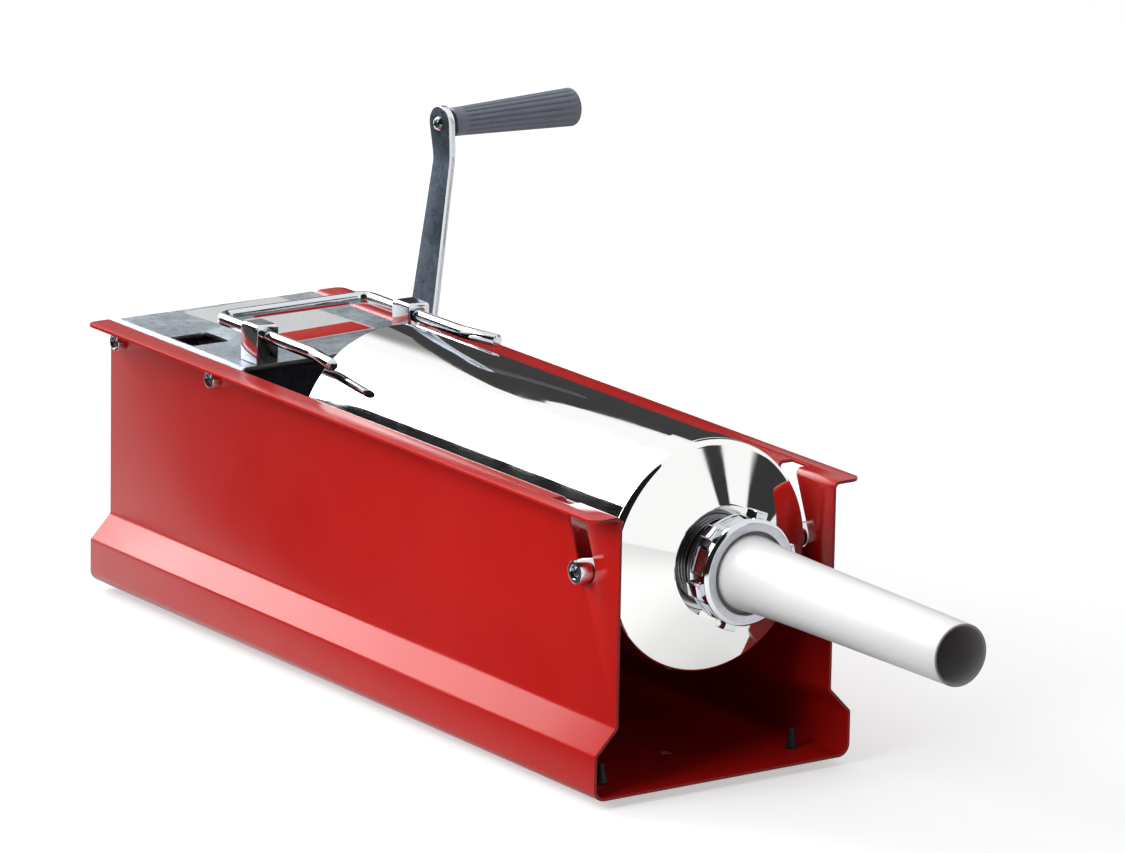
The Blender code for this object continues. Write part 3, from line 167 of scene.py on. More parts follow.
def lathe(name, profile, where, steps=96, ring=True):
    """A turned solid. The profile of radius and height runs down its outer side."""
    bm = bmesh.new()
    rows = []
    for radius, height in profile:
        if radius < 1e-7:
            rows.append([bm.verts.new(where @ Vector((0, 0, height)))])
            continue
        row = []
        for i in range(steps):
            angle = 2 * math.pi * i / steps
            point = Vector((radius * math.cos(angle), radius * math.sin(angle), height))
            row.append(bm.verts.new(where @ point))
        rows.append(row)
    pairs = list(zip(rows, rows[1:]))
    if ring:
        pairs.append((rows[-1], rows[0]))
    for upper, lower in pairs:
        for i in range(steps):
            corners = [upper[i % len(upper)], lower[i % len(lower)],
                       lower[(i + 1) % len(lower)], upper[(i + 1) % len(upper)]]
            corners = list(dict.fromkeys(corners))
            if len(corners) > 2:
                bm.faces.new(corners)
    bmesh.ops.recalc_face_normals(bm, faces=bm.faces)
    return add_object(name, bm)


def plate(name, loop, thickness, where):
    """A solid with a flat outline, centred on its thickness."""
    bm = bmesh.new()
    lower = [bm.verts.new(where @ Vector((p[0], p[1], -thickness / 2))) for p in loop]
    upper = [bm.verts.new(where @ Vector((p[0], p[1], thickness / 2))) for p in loop]
    bm.faces.new(lower[::-1])
    bm.faces.new(upper)
    for i in range(len(loop)):
        j = (i + 1) % len(loop)
        bm.faces.new((lower[i], lower[j], upper[j], upper[i]))
    bmesh.ops.recalc_face_normals(bm, faces=bm.faces)
    return add_object(name, bm)


def block(name, low, high):
    """A box between two corners."""
    loop = [(low[0], low[1]), (high[0], low[1]), (high[0], high[1]), (low[0], high[1])]
    return plate(name, loop, high[2] - low[2], at(0, 0, (low[2] + high[2]) / 2))


def merge(name, pieces):
    """Several meshes in one object."""
    bm = bmesh.new()
    for piece in pieces:
        bm.from_mesh(piece.data)
        bpy.data.objects.remove(piece, do_unlink=True)
    return add_object(name, bm)


def bake(obj):
    """Replaces an object's live modifiers by the mesh that they make."""
    bpy.context.view_layer.update()
    evaluated = obj.evaluated_get(bpy.context.evaluated_depsgraph_get())
    mesh = bpy.data.meshes.new_from_object(evaluated)
    obj.modifiers.clear()
    obj.data = mesh
    return obj


def carve(obj, tools):
    """Cuts the tools out of a piece with an exact Boolean and removes them."""
    tool = merge("carving_tool", tools)
    modifier = obj.modifiers.new("carve", "BOOLEAN")
    modifier.operation = "DIFFERENCE"
    modifier.solver = "EXACT"
    modifier.object = tool
    bake(obj)
    bpy.data.objects.remove(tool, do_unlink=True)
    return obj


def soften(obj, width, segments=2, angle=35):
    """Rounds the sharp edges, as deburring, paint or plating does."""
    modifier = obj.modifiers.new("soften", "BEVEL")
    modifier.width = width
    modifier.segments = segments
    modifier.limit_method = "ANGLE"
    modifier.angle_limit = math.radians(angle)
    modifier.harden_normals = False
    return bake(obj)


# %% [markdown]
# ## Dressing a piece
# Every finished piece gets its material, moves with a CAD body, and stands for the CAD
# nodes that it is the detailed version of.


# %% Dressing helper
def dress(obj, material, body, nodes=(), angle=30):
    """Finishes a piece: material, place, smooth shading, body and CAD nodes."""
    if material is not None:
        obj.data.materials.clear()
        obj.data.materials.append(material)
    obj.data.transform(Matrix.Translation(CENTRE))
    obj.data.shade_smooth()
    obj.data.set_sharp_from_angle(angle=math.radians(angle))
    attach(obj, body)
    if nodes:
        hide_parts(*nodes)
    print(obj.name, len(obj.data.polygons), "faces on", body)
    return obj


# %% [markdown]
# ## Building node trees
# Shader groups and Geometry Nodes are both trees of nodes with links. Two small helpers
# keep the trees readable: one adds a node with its settings, the other adds maths.


# %% Node helpers
def add_node(tree, kind, **settings):
    """A node of a kind, with its own settings such as operation or data_type."""
    node = tree.nodes.new(kind)
    for key, value in settings.items():
        setattr(node, key, value)
    return node


def maths(tree, operation, first, second=None, third=None, clamp=False):
    """A Math node. Each input is a number or another node's output."""
    node = add_node(tree, "ShaderNodeMath", operation=operation, use_clamp=clamp)
    for socket, value in zip(node.inputs, (first, second, third)):
        if value is None:
            continue
        if isinstance(value, (int, float)):
            socket.default_value = value
        else:
            tree.links.new(value, socket)
    return node.outputs[0]


def new_group(name, kind, inputs, outputs):
    """A node group with named sockets: (name, socket type, default value)."""
    tree = bpy.data.node_groups.new(name, kind)
    for label, socket_type, default in inputs:
        socket = tree.interface.new_socket(label, in_out="INPUT", socket_type=socket_type)
        if default is not None:
            socket.default_value = default
    for label, socket_type in outputs:
        tree.interface.new_socket(label, in_out="OUTPUT", socket_type=socket_type)
    source = tree.nodes.new("NodeGroupInput")
    sink = tree.nodes.new("NodeGroupOutput")
    return tree, source, sink


# %% [markdown]
# ## Effects that several finishes share
# Hands leave metal and paint unevenly glossy, sprayed and plated surfaces are never
# quite flat, and zinc or bare steel is mottled. Each of these is one shader group with
# named inputs, placed in every material that needs it with its own values.

# %% Uneven gloss
FLOAT = "NodeSocketFloat"
handled, source, sink = new_group(
    "handled_gloss", "ShaderNodeTree",
    [("Vector", "NodeSocketVector", None), ("Scale", FLOAT, 20.0), ("Low", FLOAT, 0.1),
     ("High", FLOAT, 0.2)],
    [("Roughness", FLOAT)])
broad = add_node(handled, "ShaderNodeTexNoise")
broad.inputs["Detail"].default_value = 5
broad.inputs["Distortion"].default_value = 0.6
spread = add_node(handled, "ShaderNodeMapRange", interpolation_type="SMOOTHSTEP")
spread.inputs["From Min"].default_value = 0.32
spread.inputs["From Max"].default_value = 0.7
handled.links.new(source.outputs["Vector"], broad.inputs["Vector"])
handled.links.new(source.outputs["Scale"], broad.inputs["Scale"])
handled.links.new(broad.outputs["Fac"], spread.inputs["Value"])
handled.links.new(source.outputs["Low"], spread.inputs["To Min"])
handled.links.new(source.outputs["High"], spread.inputs["To Max"])
handled.links.new(spread.outputs["Result"], sink.inputs["Roughness"])

# %% Uneven surface
uneven, source, sink = new_group(
    "uneven_surface", "ShaderNodeTree",
    [("Vector", "NodeSocketVector", None), ("Scale", FLOAT, 600.0), ("Fine share", FLOAT, 0.3)],
    [("Height", FLOAT)])
waves = add_node(uneven, "ShaderNodeTexNoise")
waves.inputs["Detail"].default_value = 2
grit = add_node(uneven, "ShaderNodeTexNoise")
grit.inputs["Detail"].default_value = 4
uneven.links.new(source.outputs["Vector"], waves.inputs["Vector"])
uneven.links.new(source.outputs["Vector"], grit.inputs["Vector"])
uneven.links.new(source.outputs["Scale"], waves.inputs["Scale"])
fine_scale = maths(uneven, "MULTIPLY", source.outputs["Scale"], 4.0)
uneven.links.new(fine_scale, grit.inputs["Scale"])
fine_part = maths(uneven, "MULTIPLY", grit.outputs["Fac"], source.outputs["Fine share"])
height = maths(uneven, "ADD", waves.outputs["Fac"], fine_part)
uneven.links.new(height, sink.inputs["Height"])

# %% Mottled colour
mottled, source, sink = new_group(
    "mottled_colour", "ShaderNodeTree",
    [("Vector", "NodeSocketVector", None), ("Scale", FLOAT, 60.0),
     ("Dark", "NodeSocketColor", (0.2, 0.2, 0.2, 1)),
     ("Light", "NodeSocketColor", (0.6, 0.6, 0.6, 1))],
    [("Color", "NodeSocketColor"), ("Mask", FLOAT)])
clouds = add_node(mottled, "ShaderNodeTexNoise")
clouds.inputs["Detail"].default_value = 8
clouds.inputs["Roughness"].default_value = 0.65
clouds.inputs["Distortion"].default_value = 0.4
grains = add_node(mottled, "ShaderNodeTexVoronoi")
mottled.links.new(source.outputs["Vector"], clouds.inputs["Vector"])
mottled.links.new(source.outputs["Vector"], grains.inputs["Vector"])
mottled.links.new(source.outputs["Scale"], clouds.inputs["Scale"])
grain_scale = maths(mottled, "MULTIPLY", source.outputs["Scale"], 7.0)
mottled.links.new(grain_scale, grains.inputs["Scale"])
grain_part = maths(mottled, "MULTIPLY", grains.outputs["Distance"], 0.35)
share = maths(mottled, "ADD", clouds.outputs["Fac"], grain_part)
share = maths(mottled, "MULTIPLY_ADD", share, 2.4, -0.95, clamp=True)
blend = add_node(mottled, "ShaderNodeMix", data_type="RGBA")
mottled.links.new(share, blend.inputs[0])
mottled.links.new(source.outputs["Dark"], blend.inputs[6])
mottled.links.new(source.outputs["Light"], blend.inputs[7])
mottled.links.new(blend.outputs[2], sink.inputs["Color"])
mottled.links.new(share, sink.inputs["Mask"])
print("shader groups:", [group.name for group in bpy.data.node_groups])

# %% [markdown]
# ## Materials
# One function lays out the parts that all finishes share: Object coordinates, uneven
# gloss into Roughness, an uneven surface into Normal through a Bump node, and, where
# two colours are given, the mottle into Base Color. Plain numbers such as coat or
# transmission are set on the shader itself, so that an export keeps them.


# %% Material helper
def rgb(red, green, blue):
    """A screen colour from 0 to 255 as the linear value that a shader takes."""
    linear = []
    for channel in (red, green, blue):
        share = channel / 255
        linear.append(share / 12.92 if share <= 0.04045 else ((share + 0.055) / 1.055) ** 2.4)
    return (*linear, 1)


def finish(name, colour, gloss, relief, second=None, gloss_scale=20, mottle_scale=60, **plain):
    """gloss is (low, high) roughness; relief is (scale, height in metres, fine share)."""
    material = bpy.data.materials.new(name)
    material.use_nodes = True
    tree = material.node_tree
    shader = tree.nodes["Principled BSDF"]
    place = add_node(tree, "ShaderNodeTexCoord").outputs["Object"]
    sheen = add_node(tree, "ShaderNodeGroup", node_tree=handled)
    sheen.inputs["Scale"].default_value = gloss_scale
    sheen.inputs["Low"].default_value = gloss[0]
    sheen.inputs["High"].default_value = gloss[1]
    tree.links.new(place, sheen.inputs["Vector"])
    tree.links.new(sheen.outputs["Roughness"], shader.inputs["Roughness"])
    skin = add_node(tree, "ShaderNodeGroup", node_tree=uneven)
    skin.inputs["Scale"].default_value = relief[0]
    skin.inputs["Fine share"].default_value = relief[2]
    bump = add_node(tree, "ShaderNodeBump")
    bump.inputs["Distance"].default_value = relief[1]
    tree.links.new(place, skin.inputs["Vector"])
    tree.links.new(skin.outputs["Height"], bump.inputs["Height"])
    tree.links.new(bump.outputs["Normal"], shader.inputs["Normal"])
    if second is None:
        shader.inputs["Base Color"].default_value = colour
    else:
        mottle = add_node(tree, "ShaderNodeGroup", node_tree=mottled)
        mottle.inputs["Scale"].default_value = mottle_scale
        mottle.inputs["Dark"].default_value = colour
        mottle.inputs["Light"].default_value = second
        tree.links.new(place, mottle.inputs["Vector"])
        tree.links.new(mottle.outputs["Color"], shader.inputs["Base Color"])
    for socket, value in plain.items():
        shader.inputs[socket.replace("_", " ")].default_value = value
    return material


# %% [markdown]
# ### The finishes of this machine
# The trough is powder coated: a saturated red under a clear gloss with a light
# orange-peel. The cylinder is polished stainless, the small parts are bright plated,
# the gearbox is zinc plated with a mottled blue-grey bloom, and the crank's arm is
# dark rolled steel with bright edges.

# %% Paint and metals
red_paint = finish("red_powder_coat", rgb(190, 24, 19), (0.2, 0.27), (420, 0.00002, 0.1),
                   second=rgb(196, 28, 23), gloss_scale=9, mottle_scale=3,
                   Specular_IOR_Level=0.32)
stainless = finish("polished_stainless", rgb(240, 240, 239), (0.03, 0.075), (35, 0.00002, 0.05),
                   gloss_scale=30, Metallic=1.0)
chrome = finish("bright_plating", rgb(214, 217, 222), (0.06, 0.15), (140, 0.00002, 0.2),
                gloss_scale=90, Metallic=1.0)
satin_face = finish("satin_plating", rgb(176, 178, 184), (0.28, 0.4), (420, 0.00003, 0.4),
                    second=rgb(196, 198, 204), mottle_scale=200, Metallic=1.0)
# The thread steel is dark grey, darker than the stainless cap: painted shade for the shadow that
# falls on the neck inside the ring nut.
thread_steel_painted_shade = finish("thread_finish_painted_shade", rgb(92, 92, 94), (0.25, 0.4), (300, 0.00002, 0.3),
                      second=rgb(140, 140, 142), mottle_scale=90, Metallic=1.0)
zinc = finish("zinc_plate", rgb(104, 113, 122), (0.36, 0.52), (420, 0.00005, 0.5),
              second=rgb(172, 181, 189), gloss_scale=40, mottle_scale=190, Metallic=0.8)
cut_edge = finish("punched_edge", rgb(225, 228, 232), (0.18, 0.3), (500, 0.00002, 0.4),
                  Metallic=1.0)
# The gearbox's front plate is near black: painted shade for the shadow that falls on the front wall
# between the gearbox and the cylinder.
front_plate_painted_shade = finish("front_sheet_painted_shade", rgb(30, 32, 38), (0.3, 0.5), (300, 0.00003, 0.4),
                    second=rgb(52, 55, 64), mottle_scale=40, Metallic=0.6)
arm_steel = finish("rolled_steel", rgb(52, 60, 72), (0.32, 0.5), (260, 0.00006, 0.5),
                   second=rgb(100, 111, 126), mottle_scale=130, Metallic=1.0)
gear_steel = finish("machined_steel", rgb(120, 122, 126), (0.25, 0.42), (300, 0.00003, 0.5),
                    second=rgb(168, 170, 174), mottle_scale=90, Metallic=1.0)
bronze = finish("bearing_bronze", rgb(150, 112, 66), (0.3, 0.45), (500, 0.00003, 0.5),
                second=rgb(186, 144, 90), mottle_scale=150, Metallic=1.0)

# %% Plastics, rubber and the bare label
white_plastic = finish("nozzle_plastic", rgb(243, 243, 244), (0.3, 0.4), (240, 0.00002, 0.3),
                       Subsurface_Weight=0.1, Subsurface_Scale=0.003, Specular_IOR_Level=0.4)
guide_plastic = finish("guide_plastic", rgb(222, 222, 214), (0.35, 0.5), (300, 0.00003, 0.3))
grip_plastic = finish("grip_plastic", rgb(148, 155, 171), (0.36, 0.48), (700, 0.00004, 0.5),
                      second=rgb(138, 144, 159), mottle_scale=30)
black_rubber = finish("black_rubber", rgb(22, 22, 24), (0.55, 0.75), (900, 0.00005, 0.6),
                      second=rgb(34, 34, 36), mottle_scale=80)
label_grey = finish("label_grey", rgb(214, 215, 216), (0.4, 0.5), (90, 0.00001, 0.2),
                    Specular_IOR_Level=0.2)
label_red = finish("label_red", rgb(200, 34, 22), (0.4, 0.5), (90, 0.00001, 0.2),
                   Specular_IOR_Level=0.12)
print(len(bpy.data.materials), "materials")

# %% [markdown]
# ## The folded trough
# The real base is one sheet of 2 mm steel, bent in a press brake, punched and powder
# coated. The outside line of its bends is drawn once, swept along the length and given
# its thickness by Solidify. Drawing the bends with many short faces lets the step catch
# a soft highlight, which is what makes the fold readable.

# %% Trough: bends and thickness
WALL_X = 79 * MM
LOW_X = 94 * MM
LOW_WALL = 28.5 * MM
STEP_RISE = 15.5 * MM
FLOOR_BEND_R = 8 * MM
STEP_BEND_R = 3 * MM
FLANGE_BEND_R = 2.5 * MM
right_line = [(LOW_X, 0), (LOW_X, LOW_WALL), (WALL_X, LOW_WALL + STEP_RISE),
              (WALL_X, TOP_Z - SHEET), (base_high.x, TOP_Z - SHEET)]
bend_radii = [FLOOR_BEND_R, STEP_BEND_R, STEP_BEND_R, FLANGE_BEND_R]
sheet_line = soft_path([(-x, z) for x, z in reversed(right_line)] + right_line,
                       bend_radii[::-1] + bend_radii, 10)
bm = bmesh.new()
line = [bm.verts.new((p.x, FRONT, p.y)) for p in sheet_line]
edges = [bm.edges.new(pair) for pair in zip(line, line[1:])]
swept = bmesh.ops.extrude_edge_only(bm, edges=edges)["geom"]
moved = [item for item in swept if isinstance(item, bmesh.types.BMVert)]
bmesh.ops.translate(bm, verts=moved, vec=(0, REAR - FRONT, 0))
trough = add_object("folded_trough", bm)
sheet = trough.modifiers.new("sheet", "SOLIDIFY")
sheet.thickness = SHEET
sheet.offset = -1
sheet.use_even_offset = True
bake(trough)

# %% [markdown]
# ### Punching the trough
# Two leaning slots let the trunnions down, the flanges have rounded corners, and round
# holes take the shafts and a drain. All the tools are cut in one Boolean, and a small
# bevel stands for the soft edge that a powder coat leaves.

# %% Trough: slots, corners and holes
TRUNNION_Y = FRONT + 33 * MM
TRUNNION_R = 7.3 * MM
TRUNNION_PLAY = 0.3 * MM
SLOT_LEAN = math.radians(22)
SLOT_HALF = 8.5 * MM
SLOT_LONG = 80 * MM
SLOT_NOTCH_X = WALL_X + 9 * MM
CORNER_R = 7 * MM
SHAFT_HOLE_R = 10.4 * MM
DRAIN_R = 4 * MM
DRAIN_Y = FRONT + 57 * MM
slot_foot = AXIS_Z - TRUNNION_R - TRUNNION_PLAY + SLOT_HALF
tools = []
for side in (-1, 1):
    along = Vector((math.sin(SLOT_LEAN), math.cos(SLOT_LEAN)))
    across = Vector((along.y, -along.x))
    low = Vector((TRUNNION_Y, slot_foot))
    top = low + along * SLOT_LONG
    loop = arc(low, SLOT_HALF, math.pi - SLOT_LEAN, 2 * math.pi - SLOT_LEAN, 24)
    loop += [top + across * SLOT_HALF, top - across * SLOT_HALF]
    if side < 0:
        loop = [(-y, z) for y, z in loop]
    middle = side * (TUBE_R + SLOT_NOTCH_X) / 2
    turn = TO_RIGHT if side > 0 else TO_LEFT
    tools.append(plate("slot", loop, SLOT_NOTCH_X - TUBE_R, at(middle, 0, 0, turn)))
    for end, inward in ((FRONT, 1), (REAR, -1)):
        r, edge_x = CORNER_R, base_high.x
        corner = [(edge_x + r, -r), (edge_x + r, r), (edge_x, r)]
        corner += [tuple(p) for p in arc((edge_x - r, r), r, 0, -math.pi / 2, 14)[1:]]
        corner.append((edge_x - r, -r))
        corner = [(side * x, inward * y) for x, y in corner]
        tools.append(plate("corner", corner, 8 * MM, at(0, end, TOP_Z)))
STUDS = [node_box("gearbox_stud_" + end + "_right") for end in ("front", "rear")]
STUDS = [((low.y + high.y) / 2, (low.z + high.z) / 2) for low, high in STUDS]
SHAFTS = []
for name in ("crank_bush_right", "drive_bush_right"):
    low, high = node_box(name)
    SHAFTS.append(((low.y + high.y) / 2, (low.z + high.z) / 2))
for y, z in SHAFTS:
    profile = [(0, 20 * MM), (SHAFT_HOLE_R, 20 * MM), (SHAFT_HOLE_R, -10 * MM), (0, -10 * MM)]
    tools.append(lathe("shaft_hole", profile, at(WALL_X, y, z, TO_RIGHT), 48, ring=False))
profile = [(0, 2 * SHEET), (DRAIN_R, 2 * SHEET), (DRAIN_R, -2 * SHEET), (0, -2 * SHEET)]
tools.append(lathe("drain", profile, at(0, DRAIN_Y, 0), 32, ring=False))
carve(trough, tools)
soften(trough, 0.35 * MM, 2, 40)
dress(trough, red_paint, "machine", ["base_frame"])

# %% [markdown]
# ## Cylinder and cap
# The tube is rolled and polished. Its cap is spun from sheet: a skirt that laps over
# the tube, a full round shoulder, a shallow cone and a flat round the neck. The flat
# mirrors the back of the ring nut. Both are turned shapes, so their
# cross-section is drawn and revolved; the fine steps keep the reflections straight.

# %% Tube and cap
cap_low, cap_high = node_box("cylinder_cap")
neck_low, neck_high = node_box("spout_neck")
CAP_R = (cap_high.x - cap_low.x) / 2
NECK_R = (neck_high.x - neck_low.x) / 2
ON_AXIS = at(0, 0, AXIS_Z, TO_FRONT)
wall = 1.5 * MM
rim = wall / 2
rear, front = -tube_high.y, -tube_low.y
profile = [(TUBE_R - wall, front), (TUBE_R, front)]
profile += [(p.x, p.y) for p in arc((TUBE_R - rim, rear + rim), rim, 0, -math.pi, 8)]
tube = lathe("polished_tube", profile, ON_AXIS, 192)
dress(tube, stainless, "machine", ["cylinder_tube"])

cap_front, cap_rear = -cap_low.y, -cap_high.y
CAP_SLOPE = math.radians(22.4)
CAP_SHEET = 2 * MM
hole = NECK_R + 0.1 * MM
flat_r = 35 * MM
shoulder = cap_front - math.tan(CAP_SLOPE) * (CAP_R - flat_r)
groove = shoulder - 6.5 * MM
outside = soft_path([(hole, cap_front), (flat_r, cap_front), (CAP_R, shoulder),
                     (CAP_R, groove + 0.5 * MM)], [4 * MM, 5 * MM], 20)
outside += [Vector((CAP_R - 0.35 * MM, groove)), Vector((CAP_R, groove - 0.5 * MM)),
            Vector((CAP_R, cap_rear + 0.4 * MM)), Vector((CAP_R - 0.5 * MM, cap_rear))]
inner = CAP_R - CAP_SHEET
inside = [Vector((TUBE_R + 0.15 * MM, cap_rear)), Vector((TUBE_R + 0.15 * MM, front + 0.3 * MM)),
          Vector((inner, front + 0.3 * MM)), Vector((inner, shoulder - 3 * MM)),
          Vector((flat_r - 0.4 * MM, cap_front - CAP_SHEET)),
          Vector((hole, cap_front - CAP_SHEET))]
cap = lathe("spun_cap", [(p.x, p.y) for p in outside + inside], ON_AXIS, 192)
dress(cap, stainless, "machine", ["cylinder_cap"])

# %% [markdown]
# ## The threaded neck
# The neck has a coarse thread for the ring nut. A thread follows a helix, which is a
# job for Geometry Nodes: a Spiral curve is given a small profile by Curve to Mesh. The
# radius, pitch, turns and depth are named inputs, so the same tree fits another thread.


# %% Geometry Nodes helpers
def grow(obj, tree, values):
    """Puts a tree on an object, sets its named inputs, and bakes the result."""
    modifier = obj.modifiers.new(tree.name, "NODES")
    modifier.node_group = tree
    for item in tree.interface.items_tree:
        if item.item_type == "SOCKET" and item.in_out == "INPUT" and item.name in values:
            modifier[item.identifier] = values[item.name]
    return bake(obj)


def empty_object(name, points=(), edges=()):
    """An object with only points and edges, for a Geometry Nodes tree to build on."""
    mesh = bpy.data.meshes.new(name)
    mesh.from_pydata([tuple(p) for p in points], list(edges), [])
    obj = bpy.data.objects.new(name, mesh)
    bpy.context.scene.collection.objects.link(obj)
    return obj


def end_tree(tree, sink, geometry, material):
    """Ends a tree in Realize Instances and Set Material."""
    real = add_node(tree, "GeometryNodeRealizeInstances")
    paint = add_node(tree, "GeometryNodeSetMaterial")
    tree.links.new(geometry, real.inputs[0])
    tree.links.new(real.outputs[0], paint.inputs["Geometry"])
    tree.links.new(material, paint.inputs["Material"])
    tree.links.new(paint.outputs[0], sink.inputs["Geometry"])


GEOMETRY = ("Geometry", "NodeSocketGeometry", None)
MATERIAL = ("Material", "NodeSocketMaterial", None)
MADE = [("Geometry", "NodeSocketGeometry")]

# %% Thread tree
thread_tree, source, sink = new_group(
    "screw_thread", "GeometryNodeTree",
    [GEOMETRY, ("Radius", FLOAT, 0.0275), ("Pitch", FLOAT, 0.003), ("Turns", FLOAT, 5.0),
     ("Depth", FLOAT, 0.0009), MATERIAL], MADE)
helix = add_node(thread_tree, "GeometryNodeCurveSpiral")
helix.inputs["Resolution"].default_value = 64
thread_tree.links.new(source.outputs["Turns"], helix.inputs["Rotations"])
thread_tree.links.new(source.outputs["Radius"], helix.inputs["Start Radius"])
thread_tree.links.new(source.outputs["Radius"], helix.inputs["End Radius"])
rise = maths(thread_tree, "MULTIPLY", source.outputs["Pitch"], source.outputs["Turns"])
thread_tree.links.new(rise, helix.inputs["Height"])
ridge = add_node(thread_tree, "GeometryNodeCurvePrimitiveCircle")
ridge.inputs["Resolution"].default_value = 6
thread_tree.links.new(source.outputs["Depth"], ridge.inputs["Radius"])
sweep = add_node(thread_tree, "GeometryNodeCurveToMesh")
sweep.inputs["Fill Caps"].default_value = True
thread_tree.links.new(helix.outputs["Curve"], sweep.inputs["Curve"])
thread_tree.links.new(ridge.outputs["Curve"], sweep.inputs["Profile Curve"])
end_tree(thread_tree, sink, sweep.outputs[0], source.outputs["Material"])

# %% Neck with its thread
neck_front, neck_rear = -neck_low.y, -neck_high.y
neck_bore = 21 * MM
core = NECK_R - 0.9 * MM
profile = [(neck_bore, neck_front), (core - 0.6 * MM, neck_front), (core, neck_front - 0.8 * MM),
           (core, neck_rear), (neck_bore, neck_rear)]
neck_tube = lathe("neck_tube", profile, ON_AXIS, 96)
turns = 7.0
pitch = 3 * MM
thread = grow(empty_object("thread"), thread_tree,
              {"Radius": core, "Pitch": pitch, "Turns": turns, "Depth": 0.85 * MM,
               "Material": thread_steel_painted_shade})
thread.data.transform(at(0, -(neck_front - 0.9 * MM - pitch * turns), AXIS_Z, TO_FRONT))
neck = merge("threaded_neck", [neck_tube, thread])
# The neck's dark thread steel is painted shade, not the metal's own colour.
dress(neck, thread_steel_painted_shade, "machine", ["spout_neck"])

# %% [markdown]
# ## The ring nut
# The nut is cast and plated. Its body is turned, shallow panels are cut between the
# lugs, and the lugs stand in a ring: Geometry Nodes put one box at each point of a
# circle and turn it to face outwards. A bevel then rounds everything as plating would.

# %% Ring of lugs
lug_tree, source, sink = new_group(
    "ring_of_lugs", "GeometryNodeTree",
    [GEOMETRY, ("Count", "NodeSocketInt", 6), ("Ring radius", FLOAT, 0.03),
     ("Lug size", "NodeSocketVector", (0.008, 0.009, 0.01)), ("Turn", FLOAT, 0.2), MATERIAL],
    MADE)
ring_points = add_node(lug_tree, "GeometryNodeMeshCircle")
lug_tree.links.new(source.outputs["Count"], ring_points.inputs["Vertices"])
lug_tree.links.new(source.outputs["Ring radius"], ring_points.inputs["Radius"])
lug_box = add_node(lug_tree, "GeometryNodeMeshCube")
lug_tree.links.new(source.outputs["Lug size"], lug_box.inputs["Size"])
number = add_node(lug_tree, "GeometryNodeInputIndex").outputs[0]
step = maths(lug_tree, "DIVIDE", 2 * math.pi, source.outputs["Count"])
spin = maths(lug_tree, "MULTIPLY", number, step)
turned = add_node(lug_tree, "ShaderNodeCombineXYZ")
lug_tree.links.new(spin, turned.inputs["Z"])
stand = add_node(lug_tree, "GeometryNodeInstanceOnPoints")
lug_tree.links.new(ring_points.outputs["Mesh"], stand.inputs["Points"])
lug_tree.links.new(lug_box.outputs["Mesh"], stand.inputs["Instance"])
lug_tree.links.new(turned.outputs[0], stand.inputs["Rotation"])
whole_turn = add_node(lug_tree, "ShaderNodeCombineXYZ")
lug_tree.links.new(source.outputs["Turn"], whole_turn.inputs["Z"])
turn_all = add_node(lug_tree, "GeometryNodeTransform")
lug_tree.links.new(stand.outputs[0], turn_all.inputs["Geometry"])
lug_tree.links.new(whole_turn.outputs[0], turn_all.inputs["Rotation"])
end_tree(lug_tree, sink, turn_all.outputs[0], source.outputs["Material"])

# %% Nut body, panels and lugs
nut_low, nut_high = node_box("ring_nut")
nut_front, nut_rear = -nut_low.y, -nut_high.y
NUT_R = 32.6 * MM
NUT_HOLE = 25 * MM
LUGS = 6
LUG_TURN = math.radians(12)
thread_r = NECK_R + 0.2 * MM
lip = nut_front - 3 * MM
profile = [(NUT_HOLE, nut_front - 0.6 * MM), (NUT_HOLE + 0.6 * MM, nut_front),
           (NUT_R - 2 * MM, nut_front), (NUT_R, nut_front - 2 * MM), (NUT_R, nut_rear + MM),
           (NUT_R - MM, nut_rear), (thread_r, nut_rear), (thread_r, lip), (NUT_HOLE, lip)]
nut = lathe("plated_ring_nut", profile, ON_AXIS, 144)
nut_middle = -(nut_rear + nut_front - 2 * MM) / 2
panels = []
for i in range(LUGS):
    angle = LUG_TURN + (i + 0.5) * 2 * math.pi / LUGS
    half = 8 * MM
    floor = math.sqrt(NUT_R ** 2 - half ** 2) - 0.9 * MM
    panel = block("panel", (floor, -half, -5 * MM), (2 * NUT_R, half, 5 * MM))
    panel.data.transform(at(0, nut_middle, AXIS_Z, TO_FRONT) @ Matrix.Rotation(angle, 4, "Z"))
    panels.append(panel)
carve(nut, panels)
lugs = grow(empty_object("lugs"), lug_tree,
            {"Count": LUGS, "Ring radius": 33.6 * MM, "Lug size": (6 * MM, 9 * MM, 10 * MM),
             "Turn": LUG_TURN, "Material": chrome})
lugs.data.transform(at(0, nut_middle, AXIS_Z, TO_FRONT))
soften(nut, 0.4 * MM, 3, 30)
soften(lugs, 0.9 * MM, 3, 30)
nut = merge("plated_ring_nut", [nut, lugs])
nut.data.materials.clear()
nut.data.materials.append(chrome)
nut.data.materials.append(satin_face)
for face in nut.data.polygons:
    face.material_index = 1 if face.normal.y < -0.95 and -face.center.y > nut_front - MM else 0
dress(nut, None, "nut", ["ring_nut"])

# %% [markdown]
# ## The funnel
# The nozzle is moulded in translucent plastic: a flange inside the nut, a short flare
# and a long slow taper. The wall is thin, and its rim is rounded because casings are
# pulled over it.

# %% Funnel
funnel_low, funnel_high = node_box("funnel")
flange_face = nut_front - 3.3 * MM
flange_back = -funnel_high.y
tip = -funnel_low.y
tip_r = 18.8 * MM
base_r = 20.9 * MM
flare = 2.6 * MM
flare_long = 18 * MM
funnel_wall = 1.8 * MM
rim_r = funnel_wall / 2
flange_r = 27.2 * MM
reach = tip - flange_face


def funnel_radius(share):
    """The outer radius at a share of the way to the tip: a taper with a short flare."""
    distance = share * reach
    return base_r + (tip_r - base_r) * share + flare * math.exp(-distance / flare_long)


